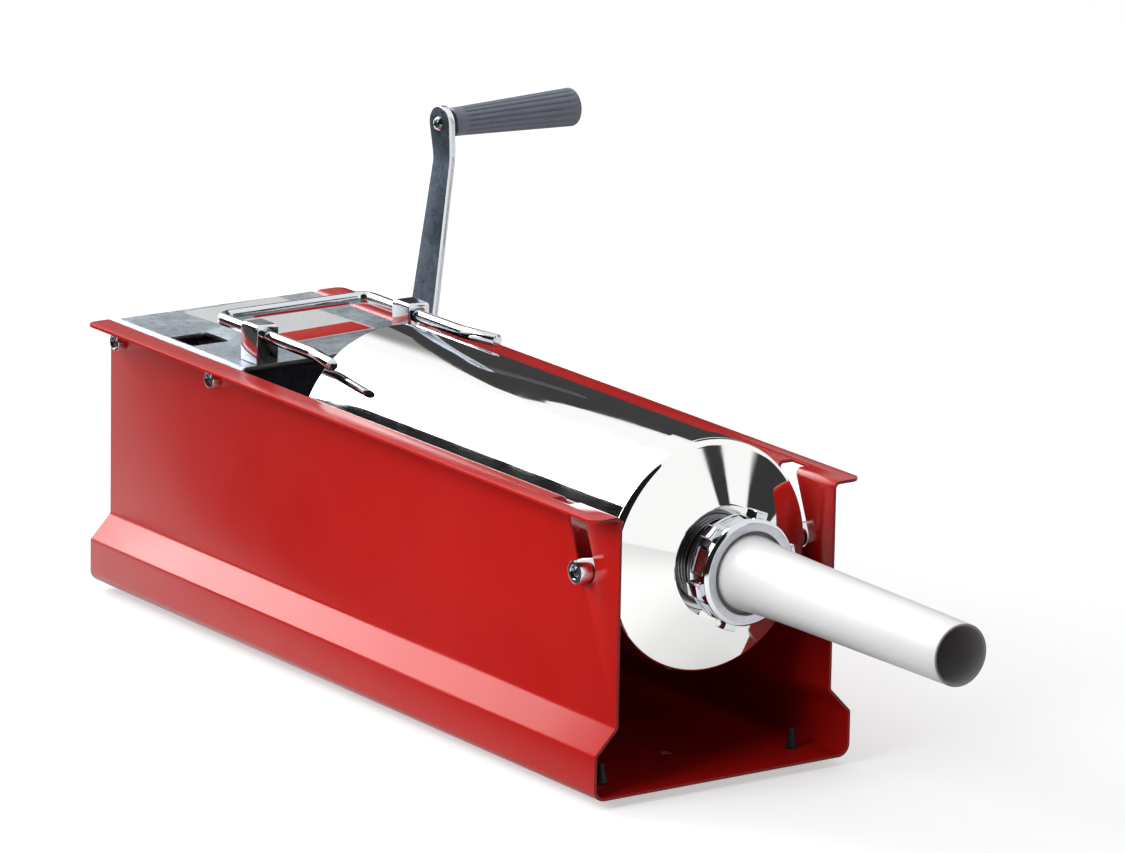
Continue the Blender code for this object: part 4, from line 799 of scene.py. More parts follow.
shares = [(i / 28) ** 1.6 for i in range(29)]
outer_side = [(funnel_radius(s), flange_face + s * (reach - rim_r)) for s in reversed(shares)]
inner_side = [(funnel_radius(s) - funnel_wall, flange_face + s * (reach - rim_r))
              for s in shares]
inner_side[0] = (inner_side[0][0], flange_back)
rim_arc = [(p.x, p.y) for p in arc((tip_r - rim_r, tip - rim_r), rim_r, math.pi, 0, 10)]
profile = outer_side + [(flange_r, flange_face), (flange_r, flange_back)] + inner_side
profile += rim_arc[1:-1]
funnel = lathe("moulded_funnel", profile, ON_AXIS, 128)
dress(funnel, white_plastic, "funnel", ["funnel"])

# %% [markdown]
# ## Studs, trunnions and feet
# The same plated sleeve with a sunk screw stands at four places on the walls, and a
# larger one at the two trunnions. Geometry Nodes put a copy of one model at each point
# and turn it outwards by the sign of the point's X, so one tree serves both sizes, and
# the feet too.

# %% Copies on points
copy_tree, source, sink = new_group(
    "copies_on_points", "GeometryNodeTree",
    [GEOMETRY, ("Model", "NodeSocketObject", None), ("Turn outwards", "NodeSocketFloat", 1.0)],
    MADE)
model = add_node(copy_tree, "GeometryNodeObjectInfo", transform_space="ORIGINAL")
copy_tree.links.new(source.outputs["Model"], model.inputs["Object"])
where = add_node(copy_tree, "GeometryNodeInputPosition").outputs[0]
parts = add_node(copy_tree, "ShaderNodeSeparateXYZ")
copy_tree.links.new(where, parts.inputs[0])
is_left = maths(copy_tree, "LESS_THAN", parts.outputs["X"], 0.0)
half_turn = maths(copy_tree, "MULTIPLY", is_left, math.pi)
half_turn = maths(copy_tree, "MULTIPLY", half_turn, source.outputs["Turn outwards"])
facing = add_node(copy_tree, "ShaderNodeCombineXYZ")
copy_tree.links.new(half_turn, facing.inputs["Z"])
copies = add_node(copy_tree, "GeometryNodeInstanceOnPoints")
copy_tree.links.new(source.outputs["Geometry"], copies.inputs["Points"])
copy_tree.links.new(model.outputs["Geometry"], copies.inputs["Instance"])
copy_tree.links.new(facing.outputs[0], copies.inputs["Rotation"])
real = add_node(copy_tree, "GeometryNodeRealizeInstances")
copy_tree.links.new(copies.outputs[0], real.inputs[0])
copy_tree.links.new(real.outputs[0], sink.inputs["Geometry"])


# %% Stud, trunnion and screw models
def screw_model(name, top, head_r, tip_z, shank_r):
    """A pan head with a cross recess, along +X."""
    dome = [(0, top), (0.45 * head_r, top - 0.03 * head_r), (0.8 * head_r, top - 0.2 * head_r),
            (head_r, top - 0.5 * head_r), (head_r, top - 0.7 * head_r),
            (shank_r, top - 0.7 * head_r), (shank_r, tip_z), (0, tip_z)]
    screw = lathe(name, dome, TO_RIGHT, 48, ring=False)
    for turn in (0.4, 0.4 + math.pi / 2):
        arm = block("arm", (-0.6 * head_r, -0.12 * head_r, top - 0.4 * head_r),
                    (0.6 * head_r, 0.12 * head_r, top + head_r))
        arm.data.transform(TO_RIGHT @ Matrix.Rotation(turn, 4, "Z"))
        carve(screw, [arm])
    return screw


def sleeve_model(name, radius, inner_z, outer_z, head_r, recess, material):
    """A sleeve along +X, counterbored for its screw."""
    edge = 0.8 * MM
    profile = [(head_r + 0.4 * MM, outer_z - 0.3 * MM), (head_r + 0.7 * MM, outer_z),
               (radius - edge, outer_z), (radius - 0.3 * edge, outer_z - 0.3 * edge),
               (radius, outer_z - edge), (radius, inner_z + 0.3 * MM),
               (radius - 0.3 * MM, inner_z), (2.6 * MM, inner_z), (2.6 * MM, outer_z - recess),
               (head_r + 0.4 * MM, outer_z - recess)]
    sleeve = lathe(name, profile, TO_RIGHT, 64)
    screw = screw_model("sleeve_screw", outer_z - 0.5 * MM, head_r, inner_z - 6 * MM, 2.3 * MM)
    model = merge(name, [sleeve, screw])
    model.data.materials.append(material)
    return model


def copy_to(name, model, points, outwards=1.0):
    """Bakes copies of a model at points, and removes the model."""
    obj = grow(empty_object(name, points), copy_tree, {"Model": model, "Turn outwards": outwards})
    bpy.data.objects.remove(model, do_unlink=True)
    return obj


# %% Place the studs and trunnions
stud_low, stud_high = node_box("gearbox_stud_front_right")
stud = sleeve_model("wall_stud", 5.5 * MM, 0, stud_high.x - stud_low.x, 3.5 * MM, 2.2 * MM, chrome)
points = [(side * (WALL_X + 0.1 * MM), y, z) for side in (-1, 1) for y, z in STUDS]
studs = copy_to("wall_studs", stud, points)
names = ["gearbox_stud_" + end + "_" + side for end in ("front", "rear")
         for side in ("left", "right")]
dress(studs, chrome, "machine", names + [name + "_screw" for name in names])

trunnion_low, trunnion_high = node_box("trunnion_right")
reach_x = trunnion_high.x - trunnion_low.x
trunnion = sleeve_model("trunnion", TRUNNION_R, 0, reach_x, 3.8 * MM, 3.2 * MM, chrome)
trunnions = copy_to("trunnions", trunnion,
                    [(side * trunnion_low.x, TRUNNION_Y, AXIS_Z) for side in (-1, 1)])
dress(trunnions, chrome, "machine",
      ["trunnion_left", "trunnion_right", "trunnion_screw_left", "trunnion_screw_right"])

# %% [markdown]
# The rubber feet are pushed through the floor from below: a round sole, a neck in the
# sheet and a barbed stem that stands up inside.

# %% Feet
foot_low, foot_high = node_box("foot_front_right")
FEET = []
FOOT_NODES = []
for end in ("front", "rear"):
    for side in ("left", "right"):
        low, high = node_box("foot_" + end + "_" + side)
        FEET.append(((low.x + high.x) / 2, (low.y + high.y) / 2, 0))
        FOOT_NODES.append("foot_" + end + "_" + side)
sole = foot_low.z
profile = [(0, foot_high.z), (1.2 * MM, foot_high.z - 0.2 * MM), (1.9 * MM, foot_high.z - MM),
           (2.2 * MM, 8 * MM), (3.6 * MM, 3.4 * MM), (4.4 * MM, 2.8 * MM), (4.2 * MM, 2.3 * MM),
           (3.5 * MM, 2.3 * MM), (3.5 * MM, -0.1 * MM), (8.6 * MM, -0.1 * MM),
           (9 * MM, -0.6 * MM), (8.9 * MM, sole + 1.2 * MM), (8.3 * MM, sole + 0.3 * MM),
           (7.6 * MM, sole), (0, sole)]
foot = lathe("rubber_foot", profile, UPRIGHT, 48, ring=False)
foot.data.materials.append(black_rubber)
feet = copy_to("rubber_feet", foot, FEET, 0.0)
dress(feet, black_rubber, "machine", FOOT_NODES)

# %% [markdown]
# ## The gearbox
# The top plate and its folded sides are zinc-plated sheet with a punched window. Cut
# faces show brighter metal than the plated skin, so the faces inside the window get a
# second material. The label on top is left bare: a plain grey panel with a red band.

# %% Gearbox housing
box_x = top_high.x
fold_r = 4 * MM
skin_t = 2.5 * MM
outer = soft_path([(-box_x, top_low.z), (-box_x, top_high.z), (box_x, top_high.z),
                   (box_x, top_low.z)], [fold_r] * 2, 10)
inner = soft_path([(box_x - skin_t, top_low.z), (box_x - skin_t, top_high.z - skin_t),
                   (skin_t - box_x, top_high.z - skin_t), (skin_t - box_x, top_low.z)],
                  [fold_r - skin_t] * 2, 10)
box_length = top_high.y - top_low.y
housing = plate("zinc_housing", outer + inner, box_length,
                at(0, (top_low.y + top_high.y) / 2, 0, TO_FRONT))
WINDOW = 28 * MM
window_x = (-72.7 * MM, -72.7 * MM + WINDOW)
window_y = (top_low.y + 63.5 * MM, top_low.y + 63.5 * MM + WINDOW)
window_loop = soft_loop([(window_x[0], window_y[0]), (window_x[1], window_y[0]),
                         (window_x[1], window_y[1]), (window_x[0], window_y[1])], 3 * MM, 8)
tools = [plate("window", window_loop, 10 * MM, at(0, 0, TOP_Z))]
for y, z in SHAFTS:
    for turn, x in ((TO_RIGHT, box_x), (TO_LEFT, -box_x)):
        profile = [(0, 5 * MM), (10.2 * MM, 5 * MM), (10.2 * MM, -5 * MM), (0, -5 * MM)]
        tools.append(lathe("shaft_hole", profile, at(x, y, z, turn), 48, ring=False))
carve(housing, tools)
soften(housing, 0.3 * MM, 2, 40)
housing.data.materials.clear()
housing.data.materials.append(zinc)
housing.data.materials.append(cut_edge)
bright = 0
for face in housing.data.polygons:
    near_window = (window_x[0] - MM < face.center.x < window_x[1] + MM
                   and window_y[0] - MM < face.center.y < window_y[1] + MM)
    at_end = abs(face.normal.y) > 0.7
    if (near_window and abs(face.normal.z) < 0.95 and face.area < 0.001) or at_end:
        face.material_index = 1
        bright += 1
print(bright, "bright cut faces")
dress(housing, None, "machine", ["gearbox_housing"])

# %% Bare label
ON_TOP = at(12 * MM, 226 * MM, TOP_Z) @ Matrix.Rotation(math.radians(4), 4, "Z")
half_x, half_y = 38 * MM, 53 * MM
panel_loop = soft_loop([(-half_x, -half_y), (half_x, -half_y), (half_x, half_y),
                        (-half_x, half_y)], 2 * MM, 6)
label = plate("bare_label", panel_loop, 0.3 * MM, ON_TOP @ at(0, 0, 0.05 * MM))
edge_x, band_low, band_high = half_x - 2 * MM, 2 * MM - half_y, 24 * MM - half_y
band_loop = soft_loop([(-edge_x, band_low), (edge_x, band_low), (edge_x, band_high),
                       (-edge_x, band_high)], 0.6 * MM, 4)
band = plate("label_band", band_loop, 0.3 * MM, ON_TOP @ at(0, 0, 0.12 * MM))
dress(label, label_grey, "machine")
dress(band, label_red, "machine")

# %% [markdown]
# ## The locking bail
# One bent wire slides in two blocks and reaches over the cylinder's rear edge. A wire
# follows a path, so its centre line is drawn with rounded bends and Geometry Nodes give
# it a round section of the wire's radius.

# %% Wire tree
wire_tree, source, sink = new_group(
    "bent_wire", "GeometryNodeTree",
    [GEOMETRY, ("Wire radius", FLOAT, 0.004), ("Facets", "NodeSocketInt", 24), MATERIAL], MADE)
to_curve = add_node(wire_tree, "GeometryNodeMeshToCurve")
wire_tree.links.new(source.outputs["Geometry"], to_curve.inputs["Mesh"])
section = add_node(wire_tree, "GeometryNodeCurvePrimitiveCircle")
wire_tree.links.new(source.outputs["Facets"], section.inputs["Resolution"])
wire_tree.links.new(source.outputs["Wire radius"], section.inputs["Radius"])
sweep = add_node(wire_tree, "GeometryNodeCurveToMesh")
sweep.inputs["Fill Caps"].default_value = True
wire_tree.links.new(to_curve.outputs["Curve"], sweep.inputs["Curve"])
wire_tree.links.new(section.outputs["Curve"], sweep.inputs["Profile Curve"])
end_tree(wire_tree, sink, sweep.outputs[0], source.outputs["Material"])

# %% Bail
bail_low, bail_high = node_box("lock_bail")
block_low, block_high = node_box("bail_block_right")
WIRE_R = (bail_high.z - bail_low.z) / 2
BAIL_Z = (bail_high.z + bail_low.z) / 2
BAIL_X = (block_low.x + block_high.x) / 2 - MM
tail_turn = math.radians(11)
tail_long = 31 * MM
bar_y = bail_high.y - WIRE_R
tail_y = bail_low.y + WIRE_R * math.sin(tail_turn)
knee_y = tail_y + tail_long * math.cos(tail_turn)
tail_x = BAIL_X + tail_long * math.sin(tail_turn)
left = [(-tail_x, tail_y), (-BAIL_X, knee_y), (-BAIL_X, bar_y)]
bend = 9 * MM
path = soft_path(left + [(-x, y) for x, y in reversed(left)],
                 [4 * bend, bend, bend, 4 * bend], 16)
points = [(p.x, p.y, BAIL_Z) for p in path]
bail = grow(empty_object("plated_bail", points, zip(range(len(points) - 1), range(1, len(points)))),
            wire_tree, {"Wire radius": WIRE_R, "Facets": 32, "Material": chrome})
soften(bail, 0.5 * MM, 2, 60)
dress(bail, chrome, "bail", ["lock_bail"])

# %% [markdown]
# The blocks are milled from bar, bored for the wire and plated. Their top edges are
# rounded over, and the bore's mouth is broken.

# %% Blocks
blocks = []
for side in (-1, 1):
    low, high = node_box("bail_block_" + ("right" if side > 0 else "left"))
    piece = block("bail_block", low, high)
    bm = bmesh.new()
    bm.from_mesh(piece.data)
    top_edges = [e for e in bm.edges if min(v.co.z for v in e.verts) > low.z + MM]
    bmesh.ops.bevel(bm, geom=top_edges, offset=2.5 * MM, segments=6, profile=0.5, affect="EDGES")
    bm.to_mesh(piece.data)
    bm.free()
    bore_r = WIRE_R + 0.25 * MM
    bore = [(0, 0.1), (bore_r, 0.1), (bore_r, -0.1), (0, -0.1)]
    where = at(side * BAIL_X, (low.y + high.y) / 2, BAIL_Z, TO_FRONT)
    carve(piece, [lathe("bore", bore, where, 48, ring=False)])
    soften(piece, 0.5 * MM, 3, 40)
    blocks.append(piece)
blocks = merge("plated_blocks", blocks)
dress(blocks, chrome, "machine",
      ["bail_block_left", "bail_block_right"])

# %% [markdown]
# ## The crank
# The arm is flat bar: a round hub end on the squared shaft, a taper, a joggle that
# leans out past the flange, and a round head for the grip. It is drawn flat, cut where
# it bends, and each point is then moved sideways by how far along the arm it is. The
# sawn edges are brighter than the rolled faces, so they get their own material.

# %% Crank arm
crank_joint = [j for j in frame["joints"] if j["name"] == "crank_turn"][0]
grip_joint = [j for j in frame["joints"] if j["name"] == "grip_spin"][0]
hub = Vector(crank_joint["pos_m"]) - CENTRE
grip_at = Vector(grip_joint["pos_m"]) - CENTRE
CRANK_R = math.hypot(grip_at.y - hub.y, grip_at.z - hub.z)
CRANK_TILT = math.atan2(grip_at.y - hub.y, grip_at.z - hub.z)
ON_CRANK = at(0, hub.y, hub.z) @ Matrix.Rotation(-CRANK_TILT, 4, "X") @ TO_RIGHT
arm_low, arm_high = node_box("crank_arm")
HUB_X = arm_low.x
ARM_T = 5 * MM
ARM_FLAT = 16 * MM
ARM_LEAN = math.radians(13.8)
neck_at = CRANK_R - 22 * MM


def lean(reach):
    """How far the arm stands out at a distance from its hub."""
    return (min(max(reach, ARM_FLAT), neck_at) - ARM_FLAT) * math.tan(ARM_LEAN)


neck_far = math.hypot(9.5 * MM, 22 * MM)
open_angle = math.atan2(22, 9.5) - math.acos(11.4 * MM / neck_far)
outline = arc((0, 0), 16 * MM, -math.pi, 0, 32)
outline.append(Vector((9.5 * MM, neck_at)))
outline += arc((0, CRANK_R), 11.4 * MM, -open_angle, math.pi + open_angle, 40)
outline.append(Vector((-9.5 * MM, neck_at)))
arm = plate("crank_arm_bar", outline, ARM_T, at(0, 0, HUB_X + ARM_T / 2))
bm = bmesh.new()
bm.from_mesh(arm.data)
for centre in (ARM_FLAT, neck_at):
    for offset in range(-4, 5):
        everything = bm.verts[:] + bm.edges[:] + bm.faces[:]
        bmesh.ops.bisect_plane(bm, geom=everything, plane_co=(0, centre + offset * MM, 0),
                               plane_no=(0, 1, 0))
for vert in bm.verts:
    nearby = [lean(vert.co.y + offset * MM) for offset in range(-4, 5)]
    vert.co.z += sum(nearby) / len(nearby)
bm.to_mesh(arm.data)
bm.free()
arm.data.transform(ON_CRANK)
pin = [(0, 0.3), (3.2 * MM, 0.3), (3.2 * MM, 0.01), (0, 0.01)]
square_hole = [(-5.2 * MM, -5.2 * MM), (5.2 * MM, -5.2 * MM), (5.2 * MM, 5.2 * MM),
               (-5.2 * MM, 5.2 * MM)]
AT_GRIP = at(0, grip_at.y, grip_at.z, TO_RIGHT)
carve(arm, [lathe("pin", pin, AT_GRIP, 32, ring=False),
            plate("square", square_hole, 0.4, ON_CRANK)])
soften(arm, 0.6 * MM, 3, 40)
arm.data.materials.clear()
arm.data.materials.append(arm_steel)
arm.data.materials.append(cut_edge)
for face in arm.data.polygons:
    if abs(face.normal.x) < 0.8:
        face.material_index = 1
dress(arm, None, "crank", ["crank_arm"])

# %% [markdown]
# ## The grip
# The handgrip is moulded: a slim smooth collar, a long taper with eighteen rounded
# flutes, and a smooth rounded end. The plain form is turned, and a Geometry Nodes tree
# presses the flutes in by a rule: each point moves towards the axis by a wave of its
# angle, faded out at both ends.

# %% Flute tree
flute_tree, source, sink = new_group(
    "pressed_flutes", "GeometryNodeTree",
    [GEOMETRY, ("Flutes", FLOAT, 18.0), ("Depth", FLOAT, 0.001), ("Start", FLOAT, 0.0),
     ("End", FLOAT, 0.08), ("Fade", FLOAT, 0.003), MATERIAL], MADE)
place = add_node(flute_tree, "GeometryNodeInputPosition").outputs[0]
parts = add_node(flute_tree, "ShaderNodeSeparateXYZ")
flute_tree.links.new(place, parts.inputs[0])
angle = maths(flute_tree, "ARCTAN2", parts.outputs["Y"], parts.outputs["X"])
wave = maths(flute_tree, "COSINE", maths(flute_tree, "MULTIPLY", angle, source.outputs["Flutes"]))
wave = maths(flute_tree, "MULTIPLY_ADD", wave, -0.5, 0.5)
wave = maths(flute_tree, "POWER", wave, 2.5)
past_start = maths(flute_tree, "SUBTRACT", parts.outputs["Z"], source.outputs["Start"])
before_end = maths(flute_tree, "SUBTRACT", source.outputs["End"], parts.outputs["Z"])
fade_in = maths(flute_tree, "DIVIDE", past_start, source.outputs["Fade"], clamp=True)
fade_out = maths(flute_tree, "DIVIDE", before_end, source.outputs["Fade"], clamp=True)
press = maths(flute_tree, "MULTIPLY", maths(flute_tree, "MULTIPLY", fade_in, fade_out), wave)
press = maths(flute_tree, "MULTIPLY", press, source.outputs["Depth"])
press = maths(flute_tree, "MULTIPLY", press, -1.0)
outward = add_node(flute_tree, "ShaderNodeCombineXYZ")
flute_tree.links.new(parts.outputs["X"], outward.inputs["X"])
flute_tree.links.new(parts.outputs["Y"], outward.inputs["Y"])
unit = add_node(flute_tree, "ShaderNodeVectorMath", operation="NORMALIZE")
flute_tree.links.new(outward.outputs[0], unit.inputs[0])
shift = add_node(flute_tree, "ShaderNodeVectorMath", operation="SCALE")
flute_tree.links.new(unit.outputs[0], shift.inputs[0])
flute_tree.links.new(press, shift.inputs["Scale"])
move = add_node(flute_tree, "GeometryNodeSetPosition")
flute_tree.links.new(source.outputs["Geometry"], move.inputs["Geometry"])
flute_tree.links.new(shift.outputs[0], move.inputs["Offset"])
end_tree(flute_tree, sink, move.outputs[0], source.outputs["Material"])

# %% Grip
grip_low, grip_high = node_box("grip")
near_r = 9.5 * MM
far_r = 12.69 * MM
long = grip_high.x - grip_low.x
edge_r = 2.4 * MM
smooth_end = 8 * MM
taper_end = long - edge_r
profile = [(0, long)]
profile += [tuple(p) for p in arc((far_r - edge_r, taper_end), edge_r, math.pi / 2, 0, 10)]
for i in range(39, -1, -1):
    share = i / 40
    profile.append((near_r + (far_r - near_r) * share,
                    smooth_end + (taper_end - smooth_end) * share))
profile += [(near_r - 0.1 * MM, 3 * MM), (near_r, 0.8 * MM), (near_r - 0.8 * MM, 0),
            (0, 0)]
grip = lathe("fluted_grip", profile, UPRIGHT, 18 * 24, ring=False)
grow(grip, flute_tree, {"Flutes": 18.0, "Depth": 1.1 * MM, "Start": smooth_end,
                        "End": taper_end, "Fade": 2 * MM, "Material": grip_plastic})
grip.data.transform(at(grip_low.x, grip_at.y, grip_at.z, TO_RIGHT))
dress(grip, grip_plastic, "grip", ["grip"])

# %% [markdown]
# ## Screws of the crank
# A cross-headed screw carries the grip, with a black washer between arm and grip. A
# hexagon bolt and a washer hold the arm on its shaft.

# %% Crank fasteners
washer_low, washer_high = node_box("grip_washer")
washer_r = (washer_high.z - washer_low.z) / 2
profile = [(3.3 * MM, washer_high.x), (washer_r - 0.6 * MM, washer_high.x),
           (washer_r, washer_high.x - 0.6 * MM), (washer_r, washer_low.x + 0.6 * MM),
           (washer_r - 0.6 * MM, washer_low.x), (3.3 * MM, washer_low.x)]
washer = lathe("black_washer", profile, AT_GRIP, 64)
dress(washer, black_rubber, "crank", ["grip_washer"])

head_inner = arm_high.x - ARM_T
spindle_head = screw_model("spindle_screw", 3 * MM, 4.5 * MM, -6 * MM, 3 * MM)
spindle_head.data.transform(at(head_inner, grip_at.y, grip_at.z)
                            @ Matrix.Rotation(math.pi, 4, "Z"))
dress(spindle_head, chrome, "crank", ["grip_spindle"])

crank_washer_low, crank_washer_high = node_box("crank_washer")
profile = [(4.3 * MM, crank_washer_high.x), (10.2 * MM, crank_washer_high.x),
           (10.4 * MM, crank_washer_high.x - 0.3 * MM), (10.4 * MM, crank_washer_low.x),
           (4.3 * MM, crank_washer_low.x)]
hub_washer = lathe("hub_washer", profile, ON_CRANK, 64)
dress(hub_washer, chrome, "crank", ["crank_washer"])

bolt_high = node_box("crank_bolt")[1]
hexagon = arc((0, 0), 7.4 * MM, 0, 2 * math.pi * 5 / 6, 5)
head_from = crank_washer_high.x + 0.05 * MM
head = plate("hub_bolt", hexagon, bolt_high.x - head_from,
             ON_CRANK @ at(0, 0, (bolt_high.x + head_from) / 2))
soften(head, 0.5 * MM, 2, 40)
dress(head, chrome, "crank", ["crank_bolt"])


# %% [markdown]
# ## Turned pieces inside
# Shafts, bushes, collars, piston and seal show from the rear, from below, through the
# window or when the piston is drawn back. They are revolved finely in the places that
# their CAD nodes hold.

# %% Shafts, bushes and collars
def turned_between(name, radius, bore, low_x, high_x, where, edge=0.4 * MM):
    """A ring between two places on its axis, with both outer edges broken."""
    profile = [(bore, high_x), (radius - edge, high_x), (radius, high_x - edge),
               (radius, low_x + edge), (radius - edge, low_x), (bore, low_x)]
    return lathe(name, profile, where, 64)


for name, (y, z), body in (("crank", SHAFTS[0], "crank"), ("drive", SHAFTS[1], "drive")):
    where = at(0, y, z, TO_RIGHT)
    for side in ("left", "right"):
        low, high = node_box(name + "_bush_" + side)
        inner_x = low.x if side == "right" else high.x
        outer_x = high.x if side == "right" else low.x
        flange_x = inner_x + (2 * MM if side == "right" else -2 * MM)
        flange = turned_between("flange", 13 * MM, 7.2 * MM, min(inner_x, flange_x),
                                max(inner_x, flange_x), where)
        sleeve = turned_between("sleeve", 10 * MM, 7.2 * MM, min(flange_x, outer_x),
                                max(flange_x, outer_x), where)
        piece = merge(name + "_bronze_bush_" + side, [flange, sleeve])
        dress(piece, bronze, "machine", [name + "_bush_" + side])
    low, high = node_box(name + "_shaft_collar")
    collar = turned_between(name + "_set_collar", 11 * MM, 7.2 * MM, low.x, high.x, where)
    dress(collar, zinc, body, [name + "_shaft_collar"])

for name, where, body, shoulder_x in (("crank_shaft", ON_CRANK, "crank", HUB_X - 0.2 * MM),
                                      ("drive_shaft", at(0, *SHAFTS[1], TO_RIGHT), "drive",
                                       80.5 * MM)):
    low, high = node_box(name)
    profile = [(0, shoulder_x), (6.4 * MM, shoulder_x), (7 * MM, shoulder_x - 0.6 * MM),
               (7 * MM, low.x + 0.6 * MM), (6.4 * MM, low.x), (0, low.x)]
    shaft = lathe(name + "_round", profile, where, 64, ring=False)
    loop = [(-5 * MM, -5 * MM), (5 * MM, -5 * MM), (5 * MM, 5 * MM), (-5 * MM, 5 * MM)]
    square = plate("square", loop, high.x - shoulder_x + MM,
                   where @ at(0, 0, (high.x + shoulder_x - MM) / 2))
    soften(square, 0.7 * MM, 2, 40)
    shaft = merge(name + "_turned", [shaft, square])
    dress(shaft, gear_steel, body, [name])

# %% Piston and seal
piston_low, piston_high = node_box("piston")
seal_low, seal_high = node_box("piston_seal")
disc_r = (piston_high.x - piston_low.x) / 2
seal_r = (seal_high.x - seal_low.x) / 2
disc_front, disc_rear = -piston_low.y, -piston_high.y
disc_middle = (disc_front + disc_rear) / 2
profile = [(10 * MM, disc_front)]
profile += [(p.x, p.y) for p in soft_path([(11 * MM, disc_front), (disc_r, disc_front),
                                           (disc_r, disc_middle + 3 * MM)], [2 * MM], 8)]
profile += [(disc_r - 4 * MM, disc_middle + 3 * MM), (disc_r - 4 * MM, disc_middle - 3 * MM),
            (disc_r, disc_middle - 3 * MM), (disc_r, disc_rear + MM), (disc_r - MM, disc_rear),
            (4.3 * MM, disc_rear), (4.3 * MM, disc_front - 6 * MM), (10 * MM, disc_front - 6 * MM)]
piston = lathe("moulded_piston", profile, ON_AXIS, 128)
dress(piston, guide_plastic, "rack", ["piston"])
profile = [(disc_r - 3.8 * MM, disc_middle + 2.6 * MM), (seal_r - 0.8 * MM, disc_middle + 2 * MM),
           (seal_r, disc_middle + 0.4 * MM), (seal_r, disc_middle - 0.4 * MM),
           (seal_r - 0.8 * MM, disc_middle - 2 * MM), (disc_r - 3.8 * MM, disc_middle - 2.6 * MM)]
seal = lathe("lip_seal", profile, ON_AXIS, 128)
dress(seal, black_rubber, "rack", ["piston_seal"])

# %% [markdown]
# ## CAD nodes that keep their own shape
# Gears, rack, guides, end plates and the saddle have the right shape already. They only
# need a finish, which goes into their own material slots.

# %% Finishes for carried-over nodes
KEPT = {
    "rack_bar": gear_steel, "rack_pinion": gear_steel, "reduction_gear": gear_steel,
    "crank_pinion": gear_steel, "piston_bolt": chrome, "rack_guide_front": guide_plastic,
    # The near-black front plate is painted shade.
    "rack_guide_rear": guide_plastic, "gearbox_front_plate": front_plate_painted_shade,
    "gearbox_rear_plate": zinc, "cylinder_saddle": zinc, "saddle_rivet_left": gear_steel,
    "saddle_rivet_right": gear_steel, "block_screw_left": chrome, "block_screw_right": chrome,
}
for name, material in KEPT.items():
    for material_slot in frame["nodes"][name].material_slots:
        material_slot.material = material
print(len(KEPT), "CAD nodes refinished")

# %% [markdown]
# ## Floor, light and surroundings
# Polished metal shows what stands round it. The floor and the world are white to the
# camera, and the floor keeps the shadow, with no glow under the base. To reflections
# the floor on the left looks dark, which keeps the red of the long wall deep. Light
# that has bounced off a matt surface meets a darker floor and sky, so the inside of the
# trough stays dark while the mirrors stay bright.

# %% Floor
FLOOR_R = 3.2
FLOOR_GAP = 0.5 * MM
FLOOR_GREY = 0.72
FLOOR_GLOW = 0.5
DIM_GLOW = 0.08
MATT_SHARE_BEHIND, MATT_SHARE_IN_FRONT = 0.55, 0.95


def ramp(tree, value, zero_at, one_at):
    """Rises from 0 to 1 as a value goes from one place to another."""
    slope = 1 / (one_at - zero_at)
    return maths(tree, "MULTIPLY_ADD", value, slope, -slope * zero_at, clamp=True)


bm = bmesh.new()
bmesh.ops.create_circle(bm, cap_ends=True, radius=FLOOR_R, segments=96,
                        matrix=Matrix.Translation(CENTRE + Vector((0, 0, sole - FLOOR_GAP))))
floor = add_object("floor", bm)
floor_material = bpy.data.materials.new("floor_white")
floor_material.use_nodes = True
tree = floor_material.node_tree
tree.nodes.clear()
output = add_node(tree, "ShaderNodeOutputMaterial")
matt = add_node(tree, "ShaderNodeBsdfDiffuse")
matt.inputs["Color"].default_value = (FLOOR_GREY, FLOOR_GREY, FLOOR_GREY, 1)
glow = add_node(tree, "ShaderNodeEmission")
paths = add_node(tree, "ShaderNodeLightPath")
seen = maths(tree, "MAXIMUM", paths.outputs["Is Camera Ray"], paths.outputs["Is Glossy Ray"])
seen = maths(tree, "MAXIMUM", seen, paths.outputs["Is Transmission Ray"])
after_matt = maths(tree, "MINIMUM", paths.outputs["Diffuse Depth"], 1.0)
before_matt = maths(tree, "SUBTRACT", 1.0, after_matt)
seen = maths(tree, "MULTIPLY", seen, before_matt)
both = add_node(tree, "ShaderNodeAddShader")
tree.links.new(matt.outputs[0], both.inputs[0])
tree.links.new(glow.outputs[0], both.inputs[1])
where = add_node(tree, "ShaderNodeSeparateXYZ")
tree.links.new(add_node(tree, "ShaderNodeNewGeometry").outputs["Position"], where.inputs[0])
beside = ramp(tree, where.outputs["X"], CENTRE.x - 0.12, CENTRE.x - 0.2)
behind_front = ramp(tree, where.outputs["Y"], CENTRE.y - 0.36, CENTRE.y - 0.235)
across = maths(tree, "ABSOLUTE", maths(tree, "SUBTRACT", where.outputs["X"], CENTRE.x))
along = maths(tree, "ABSOLUTE", maths(tree, "SUBTRACT", where.outputs["Y"], CENTRE.y))
under = maths(tree, "MULTIPLY", ramp(tree, across, 0.075, 0.055),
              ramp(tree, along, 0.235, 0.215))
seen = maths(tree, "MULTIPLY", seen, maths(tree, "SUBTRACT", 1.0, under))
tree.links.new(maths(tree, "MULTIPLY", seen, FLOOR_GLOW), glow.inputs["Strength"])
patch = maths(tree, "MULTIPLY", beside, behind_front)
patch = maths(tree, "MULTIPLY", patch, paths.outputs["Is Glossy Ray"])
patch = maths(tree, "MULTIPLY", patch, before_matt)
shade = maths(tree, "MULTIPLY_ADD", behind_front, MATT_SHARE_BEHIND - MATT_SHARE_IN_FRONT,
              MATT_SHARE_IN_FRONT)
patch = maths(tree, "MULTIPLY_ADD", after_matt, shade, patch)
dim = add_node(tree, "ShaderNodeEmission")
dim.inputs["Strength"].default_value = DIM_GLOW
carpet = add_node(tree, "ShaderNodeMixShader")
tree.links.new(patch, carpet.inputs[0])
